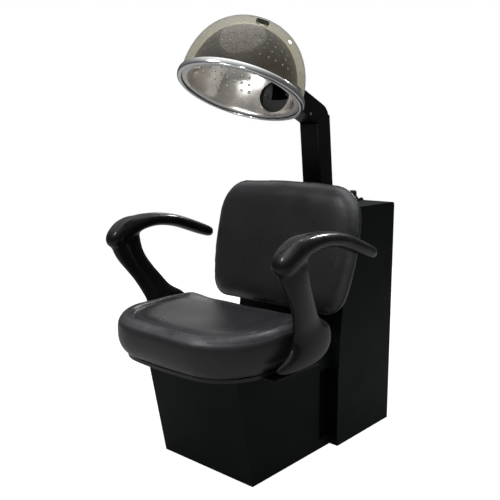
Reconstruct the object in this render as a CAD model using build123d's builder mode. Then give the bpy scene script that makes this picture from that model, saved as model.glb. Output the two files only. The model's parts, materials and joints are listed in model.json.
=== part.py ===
from build123d import *
from math import cos, sin, tan, radians
import os

# Hood dryer chair. Millimetres, +Z up, the sitter faces -Y.
# Origin: the middle of the dryer cabinet's underside, on the floor.

# ---- driving sizes: cabinet -------------------------------------------------
cabinet_width = 434
cabinet_depth = 312
cabinet_height = 773
board = 16                    # laminated panels
cabinet_setback = 45          # how far the upper front leans back behind the chair back
cabinet_edge_round = 10
shelf_height = 470            # top of the blower shelf
service_width = 300
service_height = 330
service_low = 106
service_plate = 1.5
service_overlap = 18
cover_screw_length = 12
louvre_count = 9
louvre_width = 200
louvre_slot = 8
louvre_pitch = 24
filter_thickness = 10
inlet_place = (150, 62)       # on the rear plane, low on the sitter's right
inlet_body = (28, 20)
inlet_plate = (50, 24)
inlet_depth = 24

# ---- driving sizes: chair base ----------------------------------------------
base_inset = 32               # how far the base stands in from the cabinet, each side
base_reach = 382              # front foot of the base ahead of the cabinet
base_height = 345
base_front_lean = 71          # how far the front's top stands ahead of its foot
notch_depth = 61
notch_low = 28
notch_high = 262
joint_plate = 3
plate_leg = 40                # how far a joining plate runs past its notch
joint_bolt_length = 14

# ---- driving sizes: seat ----------------------------------------------------
rail_thickness = 6
pan_thickness = 10
pan_inset = 30
seat_width = 556
seat_front = 741              # front of the cushion ahead of the origin
seat_rear = 336
seat_thickness = 124
seat_front_bow = 26
seat_side_bow = 16
seat_corner = 175
seat_rear_corner = 45
seat_top_round = 44
seat_bottom_round = 30

# ---- driving sizes: backrest ------------------------------------------------
back_foot_y = -232            # middle plane of the cushion at its lower edge
back_foot_z = 447
back_recline = 13
back_height = 419
back_width = 588
back_bottom_width = 524
back_top_width = 556
back_crown = 15
back_thickness = 56
back_round = 24
back_corner_low = 75
back_corner_high = 120
back_board_thickness = 12
back_board_inset = 26
bracket_width = 80
bracket_rise = 165            # how far the bracket climbs the back board
bracket_bend = 26
rail_front = 640
bolt_half_span = 24

# ---- driving sizes: arms ----------------------------------------------------
arm_gap = 1                   # between the cushion's widest point and the stem
arm_stem_thickness = 42
armrest_set = 26              # how far the armrest stands out from the stem
armrest_width = 65
tongue_reach = 62

# ---- driving sizes: post ----------------------------------------------------
post_width = 77
post_depth = 72
post_wall = 2
post_corner = 5
post_centre_y = 19            # where the post's axis meets the cabinet top
post_lean = 6.3
post_height = 288
flange_margin = 16
flange_thickness = 3

# ---- driving sizes: hood ----------------------------------------------------
hood_centre_y = -382
hood_centre_z = 1121
hood_tilt = 23.2
rim_stand = 8.5               # rim ring proud of the shell
rim_height = 21
rim_lip = 3
shell_radius = 185
shell_height = 218
shell_fullness = 2.3
shell_wall = 3
liner_gap = 22                # between the shell's and the liner's outsides
liner_height = 195
liner_fullness = 2.2
liner_wall = 1.5
inlet_width = 112
inlet_height = 84
inlet_centre_h = 54
seal_height = 5
slot_length = 38
slot_width = 13
slot_bearing = 42             # round from the sitter's left towards the front
slot_in = 47                  # slot's middle inwards from the shell's widest point
slot_up = 103
slot_rise = 60
hood_screw_length = 34

# ---- driving sizes: elbow and hinge -----------------------------------------
pivot_behind_front = 10
pivot_below_top = 14
elbow_side_gap = 1.5
elbow_wall = 2.5
spacer_place = (52, 2)        # ahead of and above the pivot, in the elbow's side view
saddle_margin = 15
elbow_back_gap = 1.5
barrel_radius = 9
pin_radius = 4
pin_head_radius = 7
pin_head = 2.5
running = 0.05

# ---- driving sizes: blower and controls -------------------------------------
scroll_radius = 78
scroll_wall = 2
scroll_lift = 8               # scroll's lowest point above the shelf
scroll_clear = 14             # between the wheel and the scroll
intake_radius = 44
cradle_half = 40
terminal_side = 21            # from the cabinet's left side
terminal_rear = 44            # from the back panel
terminal_size = (60, 26, 22)
motor_radius = 42
motor_length = 66
motor_flange_radius = 50
motor_flange = 3
shaft_radius = 4
wheel_ring = 2
blade_depth = 11
blade_thickness = 1.5
blade_count = 24
hub_length = 14
shaft_grip = 18               # length of shaft inside the wheel
heater_rod = 2.5
heater_height = 56
heater_lift = 14              # coil above the blower's outlet
heater_pitch = 18
mica_half = 30
mica = 1.5
plate_width = 206
plate_depth = 66
plate_thickness = 6
plate_centre_y = 114
knob_spread = 76
knob_radius = 18
knob_height = 28
knob_gap = 0.4
knob_skirt = 0.3              # share of the knob's height that is full width
knob_grip = 0.8               # the grip's radius as a share of the skirt's
knob_flutes = 10
stem_radius = 3
timer_depth = 34
heat_depth = 28
control_body = 38

# ---- shared clearances ------------------------------------------------------
fit = 0.3
screw_radius = 2
screw_head_radius = 4.5
screw_head = 2.5
bolt_radius = 3
bolt_head_radius = 6.5
bolt_head = 4

os.makedirs("parts", exist_ok=True)

half_cabinet = cabinet_width / 2
front_y = -cabinet_depth / 2
rear_y = cabinet_depth / 2
inner_half = half_cabinet - board
top_under = cabinet_height - board


def save(part, label):
    part.label = label
    export_step(part, "parts/" + label + ".step")


def side_plane(x):
    """Sketch plane whose local x runs along +Y and local y along +Z."""
    return Plane(origin=(x, 0, 0), x_dir=(0, 1, 0), z_dir=(1, 0, 0))


def rear_plane(y):
    """Sketch plane that faces the back: local x is -X, local y is +Z."""
    return Plane(origin=(0, y, 0), x_dir=(-1, 0, 0), z_dir=(0, 1, 0))


def block(low, high, mode=Mode.ADD):
    """Box between two corners, for the part being built."""
    size = [b - a for a, b in zip(low, high)]
    middle = [(a + b) / 2 for a, b in zip(low, high)]
    with Locations(tuple(middle)):
        Box(*size, mode=mode)


def bore(places, plane, radius, length):
    """Round holes into the part being built, from a plane inwards."""
    with BuildSketch(plane) as circles:
        with Locations(*places):
            Circle(radius)
    extrude(circles.sketch, amount=-length, mode=Mode.SUBTRACT)


def screw_set(label, places, plane, shank, length, head_radius, head):
    """Screws that stand on a plane: heads above it, shanks below."""
    with BuildPart() as screws:
        with BuildSketch(plane):
            with Locations(*places):
                Circle(head_radius)
        extrude(amount=head)
        with BuildSketch(plane):
            with Locations(*places):
                Circle(shank)
        extrude(amount=-length)
    save(screws.part, label)


# ============================ shared places ==================================
# cabinet front: upright up to the chair base, then leaning back
front_slope = cabinet_setback / (cabinet_height - base_height)
front_top_y = front_y + (top_under - base_height) * front_slope

# post: a leaning rectangular duct through the cabinet top
post_tilt = radians(post_lean)
post_plane = Plane(
    origin=(0, post_centre_y, cabinet_height),
    x_dir=(1, 0, 0),
    z_dir=(0, -sin(post_tilt), cos(post_tilt)),
)
post_inner_width = post_width - 2 * post_wall
post_inner_depth = post_depth - 2 * post_wall
post_foot_y = post_centre_y + board * tan(post_tilt)
flange_x = post_width / 2 + flange_margin
flange_y = post_depth / 2 + flange_margin
flange_places = []
for sx in (-1, 1):
    for sy in (-1, 1):
        flange_places.append((sx * (flange_x - 6), post_centre_y + sy * (flange_y - 6)))
flange_plane = Plane.XY.offset(cabinet_height + flange_thickness)
flange_screw_length = flange_thickness + board + flange_thickness

# service cover on the back
service_middle = service_low + service_height / 2
cover_width = service_width + 2 * service_overlap
cover_height = service_height + 2 * service_overlap
cover_x = cover_width / 2 - service_overlap / 2
cover_z = cover_height / 2 - service_overlap / 2
cover_places = [(x, service_middle + z) for x in (-cover_x, cover_x) for z in (-cover_z, 0, cover_z)]
cover_plane = rear_plane(rear_y + service_plate)

# joining bolts between the chair base and the cabinet
joint_bolt_x = half_cabinet - board / 2
joint_places = []
for sx in (-1, 1):
    for z in (notch_low + 40, notch_high - 40):
        joint_places.append((sx * joint_bolt_x, z))
joint_plane = Plane(origin=(0, front_y - joint_plate, 0), x_dir=(1, 0, 0), z_dir=(0, -1, 0))

# control plate
plate_top = cabinet_height + plate_thickness
knob_places = [(knob_spread, plate_centre_y), (-knob_spread, plate_centre_y)]
plate_screw_places = []
for sx in (-1, 1):
    for sy in (-1, 1):
        x = sx * (plate_width / 2 - 7)
        plate_screw_places.append((x, plate_centre_y + sy * (plate_depth / 2 - 7)))
plate_plane = Plane.XY.offset(plate_top)
plate_screw_length = plate_thickness + 10
control_cutout = control_body + 6

# ============================ cabinet ========================================


def cabinet_side(x):
    with BuildPart() as side:
        with BuildSketch(side_plane(x)):
            with BuildLine():
                Polyline(
                    (front_y, 0),
                    (rear_y, 0),
                    (rear_y, cabinet_height),
                    (front_y + cabinet_setback, cabinet_height),
                    (front_y, base_height),
                    close=True,
                )
            make_face()
        extrude(amount=board)
        top_edges = side.edges().filter_by(Axis.X).group_by(Axis.Z)[-1]
        fillet(top_edges.sort_by(Axis.Y)[-1], radius=cabinet_edge_round)
        reach = [place for place in joint_places if x < place[0] < x + board]
        bore(reach, joint_plane, bolt_radius, joint_bolt_length)
    return side


save(cabinet_side(inner_half).part, "cabinet_left_side")
save(cabinet_side(-half_cabinet).part, "cabinet_right_side")

with BuildPart() as front_lower:
    block((-inner_half, front_y, 0), (inner_half, front_y + board, base_height))
save(front_lower.part, "cabinet_front_lower")

with BuildPart() as front_upper:
    with BuildSketch(side_plane(-inner_half)):
        with BuildLine():
            Polyline(
                (front_y, base_height),
                (front_y + board, base_height),
                (front_top_y + board, top_under),
                (front_top_y, top_under),
                close=True,
            )
        make_face()
    extrude(amount=2 * inner_half)
save(front_upper.part, "cabinet_front_upper")

with BuildPart() as top_panel:
    with BuildSketch(side_plane(-inner_half)):
        with BuildLine():
            Polyline(
                (front_top_y, top_under),
                (rear_y, top_under),
                (rear_y, cabinet_height),
                (front_y + cabinet_setback, cabinet_height),
                close=True,
            )
        make_face()
    extrude(amount=2 * inner_half)
    rear_top = top_panel.edges().filter_by(Axis.X).group_by(Axis.Z)[-1].sort_by(Axis.Y)[-1]
    fillet(rear_top, radius=cabinet_edge_round)
    with BuildSketch(post_plane.offset(board)):
        RectangleRounded(post_width + 2 * fit, post_depth + 2 * fit, post_corner)
    extrude(amount=-4 * board, mode=Mode.SUBTRACT)
    with BuildSketch(Plane.XY.offset(cabinet_height)):
        with Locations(*knob_places):
            Rectangle(control_cutout, control_cutout)
    extrude(amount=-board, mode=Mode.SUBTRACT)
    bore(flange_places, flange_plane, screw_radius, flange_screw_length)
    bore(plate_screw_places, plate_plane, screw_radius, plate_screw_length)
save(top_panel.part, "cabinet_top")

with BuildPart() as floor_board:
    block((-inner_half, front_y + board, 0), (inner_half, rear_y - board, board))
save(floor_board.part, "cabinet_floor")

shelf_front_y = front_y + board + (shelf_height - base_height) * front_slope
with BuildPart() as shelf:
    low = (-inner_half, shelf_front_y, shelf_height - board)
    block(low, (inner_half, rear_y - board, shelf_height))
save(shelf.part, "blower_shelf")

with BuildPart() as back_panel:
    block((-inner_half, rear_y - board, 0), (inner_half, rear_y, top_under))
    with BuildSketch(rear_plane(rear_y)):
        with Locations((0, service_middle)):
            Rectangle(service_width, service_height)
        with Locations(inlet_place):
            Rectangle(inlet_body[0] + 2 * fit, inlet_body[1] + 2 * fit)
    extrude(amount=-board, mode=Mode.SUBTRACT)
    bore(cover_places, cover_plane, screw_radius, cover_screw_length)
save(back_panel.part, "cabinet_back")

with BuildPart() as service_cover:
    with BuildSketch(rear_plane(rear_y)):
        with Locations((0, service_middle)):
            RectangleRounded(cover_width, cover_height, 6)
            with GridLocations(1, louvre_pitch, 1, louvre_count):
                SlotOverall(louvre_width, louvre_slot, mode=Mode.SUBTRACT)
    extrude(amount=service_plate)
    bore(cover_places, cover_plane, screw_radius + fit, service_plate)
save(service_cover.part, "service_cover")

with BuildPart() as intake_filter:
    low = (-service_width / 2 + 1, rear_y - filter_thickness, service_low + 1)
    block(low, (service_width / 2 - 1, rear_y, service_low + service_height - 1))
save(intake_filter.part, "intake_filter")

with BuildPart() as power_inlet:
    with BuildSketch(rear_plane(rear_y)):
        with Locations(inlet_place):
            RectangleRounded(*inlet_plate, 5)
    extrude(amount=3)
    with BuildSketch(rear_plane(rear_y)):
        with Locations(inlet_place):
            Rectangle(*inlet_body)
    extrude(amount=-inlet_depth)
    with BuildSketch(rear_plane(rear_y + 3)):
        with Locations(inlet_place):
            Rectangle(inlet_body[0] - 5, inlet_body[1] - 5)
    extrude(amount=-18, mode=Mode.SUBTRACT)
save(power_inlet.part, "power_inlet")

# ============================ chair base =====================================
base_half = half_cabinet - base_inset
base_width = 2 * base_half
base_inner = base_half - board
base_front_y = front_y - base_reach
base_slope = base_front_lean / base_height
leg_front = front_y - notch_depth - plate_leg


def base_front_at(z):
    return base_front_y - z * base_slope


with BuildPart() as base_front:
    with BuildSketch(side_plane(-base_half)):
        with BuildLine():
            Polyline(
                (base_front_at(0), 0),
                (base_front_at(0) + board, 0),
                (base_front_at(base_height) + board, base_height),
                (base_front_at(base_height), base_height),
                close=True,
            )
        make_face()
    extrude(amount=base_width)
save(base_front.part, "base_front")


def base_side(x):
    with BuildPart() as side:
        with BuildSketch(side_plane(x)):
            with BuildLine():
                Polyline(
                    (base_front_at(0) + board, 0),
                    (front_y, 0),
                    (front_y, notch_low),
                    (front_y - notch_depth, notch_low),
                    (front_y - notch_depth, notch_high),
                    (front_y, notch_high),
                    (front_y, base_height),
                    (base_front_at(base_height) + board, base_height),
                    close=True,
                )
            make_face()
        extrude(amount=board)
    return side


save(base_side(base_inner).part, "base_left_side")
save(base_side(-base_half).part, "base_right_side")


def base_board(label, low, high, rear, tool_places=()):
    """Level board between the base sides, cut to the leaning front."""
    with BuildPart() as level:
        with BuildSketch(side_plane(-base_inner)):
            with BuildLine():
                Polyline(
                    (base_front_at(low) + board, low),
                    (rear, low),
                    (rear, high),
                    (base_front_at(high) + board, high),
                    close=True,
                )
            make_face()
        extrude(amount=2 * base_inner)
        if tool_places:
            bore(tool_places, Plane.XY.offset(high), bolt_head_radius + 3, high - low)
    save(level.part, label)


right_joints = [place for place in joint_places if place[0] > 0]
plate_inside = base_inner - joint_plate
with BuildPart() as joining_plates:
    block((plate_inside, leg_front, notch_low), (base_inner, front_y, notch_high))
    block((plate_inside, front_y - joint_plate, notch_low), (half_cabinet, front_y, notch_high))
    bore(right_joints, joint_plane, bolt_radius + fit, joint_plate)
    mirror(about=Plane.YZ)
save(joining_plates.part, "joining_plates")
screw_set(
    "joining_bolts", joint_places, joint_plane, bolt_radius,
    joint_bolt_length, bolt_head_radius, bolt_head,
)

# ============================ seat ===========================================
rail_low = base_height
rail_high = rail_low + rail_thickness
pan_high = rail_high + pan_thickness
seat_bolt_places = []
for x in (-bolt_half_span, bolt_half_span):
    for y in (-rail_front + 60, -seat_rear - 90):
        seat_bolt_places.append((x, y))
arm_inner = seat_width / 2 + arm_gap
armrest_inner = arm_inner + armrest_set
tongue_inner = arm_inner - tongue_reach
arm_bolt_places = [(sx * (tongue_inner + 15), y) for sx in (-1, 1) for y in (-510, -410)]
under_plane = Plane(origin=(0, 0, rail_low), x_dir=(1, 0, 0), z_dir=(0, 0, -1))


def seen_from_below(places):
    """The same places in the local axes of the underside plane."""
    return [(x, -y) for x, y in places]


base_board("base_deck", base_height - board, base_height, front_y, seat_bolt_places)
base_board("base_floor", 0, board, leg_front)


def seat_outline(inset):
    """Plan of the seat: bowed sides and front, large front corners."""
    half = seat_width / 2 - inset
    edge = half - seat_side_bow
    front = -seat_front + inset
    shoulder = front + seat_front_bow
    rear = -seat_rear - inset
    middle = (front + rear) / 2
    with BuildSketch() as plan:
        with BuildLine():
            Line((-edge, rear), (edge, rear))
            ThreePointArc((edge, rear), (half, middle), (edge, shoulder))
            ThreePointArc((edge, shoulder), (0, front), (-edge, shoulder))
            ThreePointArc((-edge, shoulder), (-half, middle), (-edge, rear))
        make_face()
        fillet(plan.vertices().group_by(Axis.Y)[0], radius=seat_corner - inset)
        fillet(plan.vertices().group_by(Axis.Y)[-1], radius=seat_rear_corner - inset)
    return plan.sketch


seat_plan = seat_outline(0)
pan_plan = seat_outline(pan_inset)
with BuildPart() as seat_cushion:
    with BuildSketch(Plane.XY.offset(pan_high)):
        add(seat_plan)
    extrude(amount=seat_thickness)
    fillet(seat_cushion.faces().sort_by(Axis.Z)[-1].edges(), radius=seat_top_round)
    fillet(seat_cushion.faces().sort_by(Axis.Z)[0].edges(), radius=seat_bottom_round)
save(seat_cushion.part, "seat_cushion")

with BuildPart() as seat_pan:
    with BuildSketch(Plane.XY.offset(rail_high)):
        add(pan_plan)
    extrude(amount=pan_thickness)
    pan_places = seen_from_below(seat_bolt_places + arm_bolt_places)
    bore(pan_places, under_plane, bolt_radius, rail_thickness + pan_thickness)
save(seat_pan.part, "seat_pan")
screw_set(
    "seat_bolts", pan_places, under_plane, bolt_radius,
    rail_thickness + pan_thickness, bolt_head_radius, bolt_head,
)

# ============================ backrest =======================================
recline = radians(back_recline)
back_plane = Plane(
    origin=(0, back_foot_y, back_foot_z),
    x_dir=(1, 0, 0),
    z_dir=(0, -cos(recline), sin(recline)),
)


def back_outline(inset):
    """Front view of the backrest, from its lower edge up."""
    low = back_bottom_width / 2 - inset
    wide = back_width / 2 - inset
    high = back_top_width / 2 - inset
    waist = 0.45 * back_height
    shoulder = back_height - back_crown - inset
    with BuildSketch() as shape:
        with BuildLine():
            Line((-low, inset), (low, inset))
            ThreePointArc((low, inset), (wide, waist), (high, shoulder))
            ThreePointArc((high, shoulder), (0, back_height - inset), (-high, shoulder))
            ThreePointArc((-high, shoulder), (-wide, waist), (-low, inset))
        make_face()
        fillet(shape.vertices().group_by(Axis.Y)[0], radius=back_corner_low - inset)
        fillet(shape.vertices().group_by(Axis.Y)[-1], radius=back_corner_high - inset)
    return shape.sketch


cushion_front_view = back_outline(0)
board_front_view = back_outline(back_board_inset)
with BuildPart() as back_cushion:
    with BuildSketch(back_plane.offset(-back_thickness / 2)):
        add(cushion_front_view)
    extrude(amount=back_thickness)
    rims = back_cushion.faces().sort_by(Axis(back_plane.origin, back_plane.z_dir))
    fillet(rims[0].edges() + rims[-1].edges(), radius=back_round)
save(back_cushion.part, "back_cushion")

board_rear = -back_thickness / 2 - back_board_thickness
back_bolt_places = [(x, y) for x in (-bolt_half_span, bolt_half_span) for y in (50, 130)]
bolt_origin = back_plane.offset(board_rear - rail_thickness).origin
bolt_plane = Plane(origin=bolt_origin, x_dir=(-1, 0, 0), z_dir=-back_plane.z_dir)
with BuildPart() as back_board:
    with BuildSketch(back_plane.offset(board_rear)):
        add(board_front_view)
    extrude(amount=back_board_thickness)
    bore(back_bolt_places, bolt_plane, bolt_radius, rail_thickness + back_board_thickness)
save(back_board.part, "back_board")

# central flat-bar bracket: under the seat, then up behind the back board
upright_foot = back_foot_y - board_rear / cos(recline)
bar_y = rail_thickness / cos(recline)


def upright_at(z):
    """Front face of the bracket's upright at a height."""
    return upright_foot + (z - back_foot_z) * tan(recline)


bracket_top = back_foot_z + bracket_rise * cos(recline)
inner_corner = Vector(0, upright_at(rail_high), rail_high)
outer_corner = Vector(0, upright_at(rail_low) + bar_y, rail_low)
with BuildPart() as bracket:
    with BuildSketch(side_plane(-bracket_width / 2)):
        with BuildLine():
            Polyline(
                (-rail_front, rail_low),
                (outer_corner.Y, rail_low),
                (upright_at(bracket_top) + bar_y, bracket_top),
                (upright_at(bracket_top), bracket_top),
                (inner_corner.Y, rail_high),
                (-rail_front, rail_high),
                close=True,
            )
        make_face()
    extrude(amount=bracket_width)
    inner_bend = bracket.edges().filter_by(Axis.X).sort_by_distance(inner_corner)[0]
    fillet(inner_bend, radius=bracket_bend)
    outer_bend = bracket.edges().filter_by(Axis.X).sort_by_distance(outer_corner)[0]
    fillet(outer_bend, radius=bracket_bend + rail_thickness)
    bore(seen_from_below(seat_bolt_places), under_plane, bolt_radius + fit, rail_thickness)
    bore(back_bolt_places, bolt_plane, bolt_radius + fit, rail_thickness)
save(bracket.part, "back_bracket")
screw_set(
    "back_bolts", back_bolt_places, bolt_plane, bolt_radius,
    rail_thickness + back_board_thickness, bolt_head_radius, bolt_head,
)

# ============================ arms ===========================================
# side views, in (y, z)
stem_front = [(-588, 384), (-516, 418), (-503, 470), (-528, 535), (-566, 590), (-604, 674)]
stem_back = [(-518, 702), (-512, 655), (-488, 607), (-447, 560), (-405, 510), (-350, 474)]
foot_under = [(-325, 440), (-336, 392), (-384, 358), (-440, rail_low), (-515, 350), (-588, 384)]
rest_over = [(-168, 648), (-268, 705), (-390, 740), (-476, 746), (-560, 731), (-620, 694)]
rest_under = [(-600, 654), (-560, 664), (-515, 690), (-466, 703), (-412, 707), (-300, 682), (-196, 636)]


def arm(sign):
    with BuildPart() as piece:
        with BuildSketch(side_plane(arm_inner)):
            with BuildLine():
                Spline(*stem_front)
                Line(stem_front[-1], stem_back[0])
                Spline(*stem_back)
                Line(stem_back[-1], foot_under[0])
                Spline(*foot_under)
            make_face()
        extrude(amount=arm_stem_thickness)
        with BuildSketch(side_plane(armrest_inner)):
            with BuildLine():
                Spline(*rest_over)
                Line(rest_over[-1], rest_under[0])
                Spline(*rest_under)
                Line(rest_under[-1], rest_over[0])
            make_face()
        extrude(amount=armrest_width)
        block((tongue_inner, -560, rail_low), (arm_inner + 4, -360, rail_high))
        places = seen_from_below([place for place in arm_bolt_places if place[0] > 0])
        bore(places, under_plane, bolt_radius + fit, rail_thickness)
        if sign < 0:
            mirror(about=Plane.YZ, mode=Mode.REPLACE)
    return piece


save(arm(1).part, "left_arm")
save(arm(-1).part, "right_arm")

# ============================ post ===========================================
pivot = post_plane.from_local_coords(
    Vector(0, -post_depth / 2 + pivot_behind_front, post_height - pivot_below_top)
)
pivot_plane = Plane(origin=pivot, x_dir=(0, 1, 0), z_dir=(1, 0, 0))
post_below = 4 * board        # drawn past the cabinet top, then cut level
with BuildPart() as duct_post:
    with BuildSketch(post_plane.offset(post_height)):
        RectangleRounded(post_width, post_depth, post_corner)
    extrude(amount=-post_height - post_below)
    with BuildSketch(post_plane.offset(post_height)):
        RectangleRounded(post_inner_width, post_inner_depth, post_corner - post_wall)
    extrude(amount=-post_height - post_below, mode=Mode.SUBTRACT)
    split(bisect_by=Plane.XY.offset(top_under), keep=Keep.TOP)
    with BuildSketch(post_plane.offset(post_height)):
        with Locations((0, -post_depth / 2)):
            Rectangle(post_inner_width, 2 * (post_wall + post_corner))
    extrude(amount=-pivot_below_top - barrel_radius - 1, mode=Mode.SUBTRACT)
    with BuildSketch(pivot_plane):
        Circle(pin_radius + running)
    extrude(amount=post_width, both=True, mode=Mode.SUBTRACT)
save(duct_post.part, "duct_post")

with BuildPart() as post_flange:
    with BuildSketch(Plane.XY.offset(cabinet_height)):
        with Locations((0, post_centre_y)):
            RectangleRounded(2 * flange_x, 2 * flange_y, 8)
    extrude(amount=flange_thickness)
    with BuildSketch(post_plane.offset(board)):
        RectangleRounded(post_width, post_depth, post_corner)
    extrude(amount=-2 * board, mode=Mode.SUBTRACT)
    bore(flange_places, flange_plane, screw_radius + fit, flange_thickness)
save(post_flange.part, "post_flange")

# ============================ blower =========================================
duct_depth = post_depth / cos(post_tilt)
duct_inner_depth = post_inner_depth / cos(post_tilt)
wheel_radius = scroll_radius - scroll_wall - scroll_clear
scroll_y = post_foot_y + duct_depth / 2 - scroll_radius
scroll_z = shelf_height + scroll_lift + scroll_radius
blower_top = scroll_z + scroll_radius + 16
blower_half = post_width / 2
scroll_axis = Plane(origin=(0, scroll_y, scroll_z), x_dir=(0, 1, 0), z_dir=(1, 0, 0))
outlet_offset = post_foot_y - scroll_y
outlet_rise = blower_top - scroll_z
with BuildPart() as scroll:
    with BuildSketch(scroll_axis):
        Circle(scroll_radius)
        with Locations((outlet_offset, outlet_rise / 2)):
            Rectangle(duct_depth, outlet_rise)
    extrude(amount=blower_half, both=True)
    with BuildSketch(scroll_axis):
        Circle(scroll_radius - scroll_wall)
        with Locations((outlet_offset, outlet_rise / 2)):
            Rectangle(duct_inner_depth, outlet_rise)
    extrude(amount=blower_half - scroll_wall, both=True, mode=Mode.SUBTRACT)
    with BuildSketch(scroll_axis.offset(-blower_half)):
        Circle(intake_radius)
    extrude(amount=2 * scroll_wall, mode=Mode.SUBTRACT)
    with BuildSketch(scroll_axis.offset(blower_half)):
        Circle(motor_radius - 6)
    extrude(amount=-2 * scroll_wall, mode=Mode.SUBTRACT)
save(scroll.part, "blower_scroll")

with BuildPart() as cradle:
    low = (-blower_half, scroll_y - cradle_half, shelf_height)
    block(low, (blower_half, scroll_y + cradle_half, scroll_z))
    with BuildSketch(scroll_axis):
        Circle(scroll_radius + fit)
    extrude(amount=post_width, both=True, mode=Mode.SUBTRACT)
save(cradle.part, "blower_cradle")

motor_face = blower_half
motor_end = motor_face + motor_flange + motor_length
with BuildPart() as motor:
    with BuildSketch(scroll_axis.offset(motor_face)):
        Circle(motor_flange_radius)
    extrude(amount=motor_flange)
    with BuildSketch(scroll_axis.offset(motor_face + motor_flange)):
        Circle(motor_radius)
    extrude(amount=motor_length)
    fillet(motor.edges().group_by(Axis.X)[-1], radius=6)
    with BuildSketch(scroll_axis.offset(motor_face)):
        Circle(shaft_radius + running)
    extrude(amount=motor_flange + motor_length, mode=Mode.SUBTRACT)
save(motor.part, "blower_motor")

hub_x = blower_half - scroll_wall - 12
wheel_start = -hub_x
with BuildPart() as impeller:
    with BuildSketch(scroll_axis.offset(hub_x - wheel_ring)):
        Circle(wheel_radius)
    extrude(amount=wheel_ring)
    with BuildSketch(scroll_axis.offset(hub_x - hub_length)):
        Circle(2.4 * shaft_radius)
    extrude(amount=hub_length)
    with BuildSketch(scroll_axis.offset(wheel_start)):
        Circle(wheel_radius)
        Circle(wheel_radius - blade_depth, mode=Mode.SUBTRACT)
    extrude(amount=wheel_ring)
    with BuildSketch(scroll_axis.offset(wheel_start)):
        with PolarLocations(wheel_radius - blade_depth / 2, blade_count):
            Rectangle(blade_depth - 1, blade_thickness)
    extrude(amount=hub_x - wheel_start)
    with BuildSketch(scroll_axis.offset(wheel_start)):
        Circle(shaft_radius)
    extrude(amount=2 * hub_x, mode=Mode.SUBTRACT)
save(impeller.part, "impeller")

with BuildPart() as motor_shaft:
    with BuildSketch(scroll_axis.offset(hub_x - shaft_grip)):
        Circle(shaft_radius)
    extrude(amount=motor_end + 4 - (hub_x - shaft_grip))
save(motor_shaft.part, "motor_shaft")

with BuildPart() as heater_duct:
    with BuildSketch(Plane.XY.offset(blower_top)):
        with Locations((0, post_foot_y)):
            Rectangle(post_width, duct_depth)
    extrude(amount=top_under - blower_top)
    with BuildSketch(Plane.XY.offset(top_under)):
        with Locations((0, post_centre_y)):
            RectangleRounded(2 * flange_x, 2 * flange_y, 8)
    extrude(amount=-flange_thickness)
    with BuildSketch(Plane.XY.offset(blower_top)):
        with Locations((0, post_foot_y)):
            Rectangle(post_inner_width, duct_inner_depth)
    extrude(amount=top_under - blower_top, mode=Mode.SUBTRACT)
    bore(flange_places, flange_plane, screw_radius, flange_screw_length)
save(heater_duct.part, "heater_duct")

heater_low = blower_top + heater_lift
heater_inner = post_inner_width / 2
with BuildPart() as heater_frame:
    for sx in (-1, 1):
        x_near = sx * (heater_inner - mica)
        x_far = sx * heater_inner
        low = (min(x_near, x_far), post_foot_y - mica_half, heater_low)
        block(low, (max(x_near, x_far), post_foot_y + mica_half, heater_low + heater_height))
save(heater_frame.part, "heater_frame")

with BuildPart() as heater_coil:
    centre = (0, post_foot_y, heater_low + heater_height / 2)
    with BuildSketch(Plane(origin=centre, x_dir=(0, 1, 0), z_dir=(1, 0, 0))):
        with GridLocations(heater_pitch, heater_pitch, 3, 3):
            Circle(heater_rod)
    extrude(amount=heater_inner - mica, both=True)
save(heater_coil.part, "heater_coil")

with BuildPart() as cutout:
    with BuildSketch(side_plane(blower_half)):
        with Locations((post_foot_y, heater_low + heater_height / 2)):
            Circle(9)
    extrude(amount=7)
    fillet(cutout.edges().group_by(Axis.X)[-1], radius=1.5)
save(cutout.part, "thermal_cutout")

with BuildPart() as terminal_block:
    high = (inner_half - terminal_side, rear_y - board - terminal_rear, shelf_height + terminal_size[2])
    block([a - b for a, b in zip(high, terminal_size)], high)
    with BuildSketch(Plane.XY.offset(high[2])):
        with Locations((high[0] - terminal_size[0] / 2, high[1] - terminal_size[1] / 2)):
            with GridLocations(13, 1, 4, 1):
                Circle(3.2)
    extrude(amount=-8, mode=Mode.SUBTRACT)
save(terminal_block.part, "terminal_block")

# ============================ hood ===========================================
tilt = radians(hood_tilt)
hood_up = Vector(0, sin(tilt), cos(tilt))
hood_back = Vector(0, cos(tilt), -sin(tilt))
hood_origin = Vector(0, hood_centre_y, hood_centre_z)
hood_plane = Plane(origin=hood_origin, x_dir=(1, 0, 0), z_dir=hood_up)
section_plane = Plane(origin=hood_origin, x_dir=hood_back, z_dir=(1, 0, 0))
hood_axis = Axis(hood_origin, hood_up)
rim_radius = shell_radius + rim_stand
liner_radius = shell_radius - liner_gap


def dome_points(radius, height, fullness, start=0.0):
    """Superellipse from the rim to the crown, as (distance from axis, height)."""
    points = [(radius, start)]
    for degrees in (15, 30, 45, 60, 75):
        angle = radians(degrees)
        share = 2 / fullness
        points.append((radius * cos(angle) ** share, height * sin(angle) ** share))
    points.append((0, height))
    return points


def dome_solid(radius, height, fullness):
    """Solid dome on the hood's rim plane."""
    with BuildPart() as dome:
        with BuildSketch(section_plane):
            with BuildLine():
                Spline(*dome_points(radius, height, fullness), tangents=[(0, 1), (-1, 0)])
                Line((0, height), (0, 0))
                Line((0, 0), (radius, 0))
            make_face()
        revolve(axis=hood_axis)
    return dome.part


def ring(*outlines):
    """Rings turned about the hood's axis from closed outlines."""
    with BuildPart() as turned:
        with BuildSketch(section_plane):
            for points in outlines:
                with BuildLine():
                    Polyline(*points, close=True)
                make_face()
        revolve(axis=hood_axis)
    return turned.part


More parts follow.
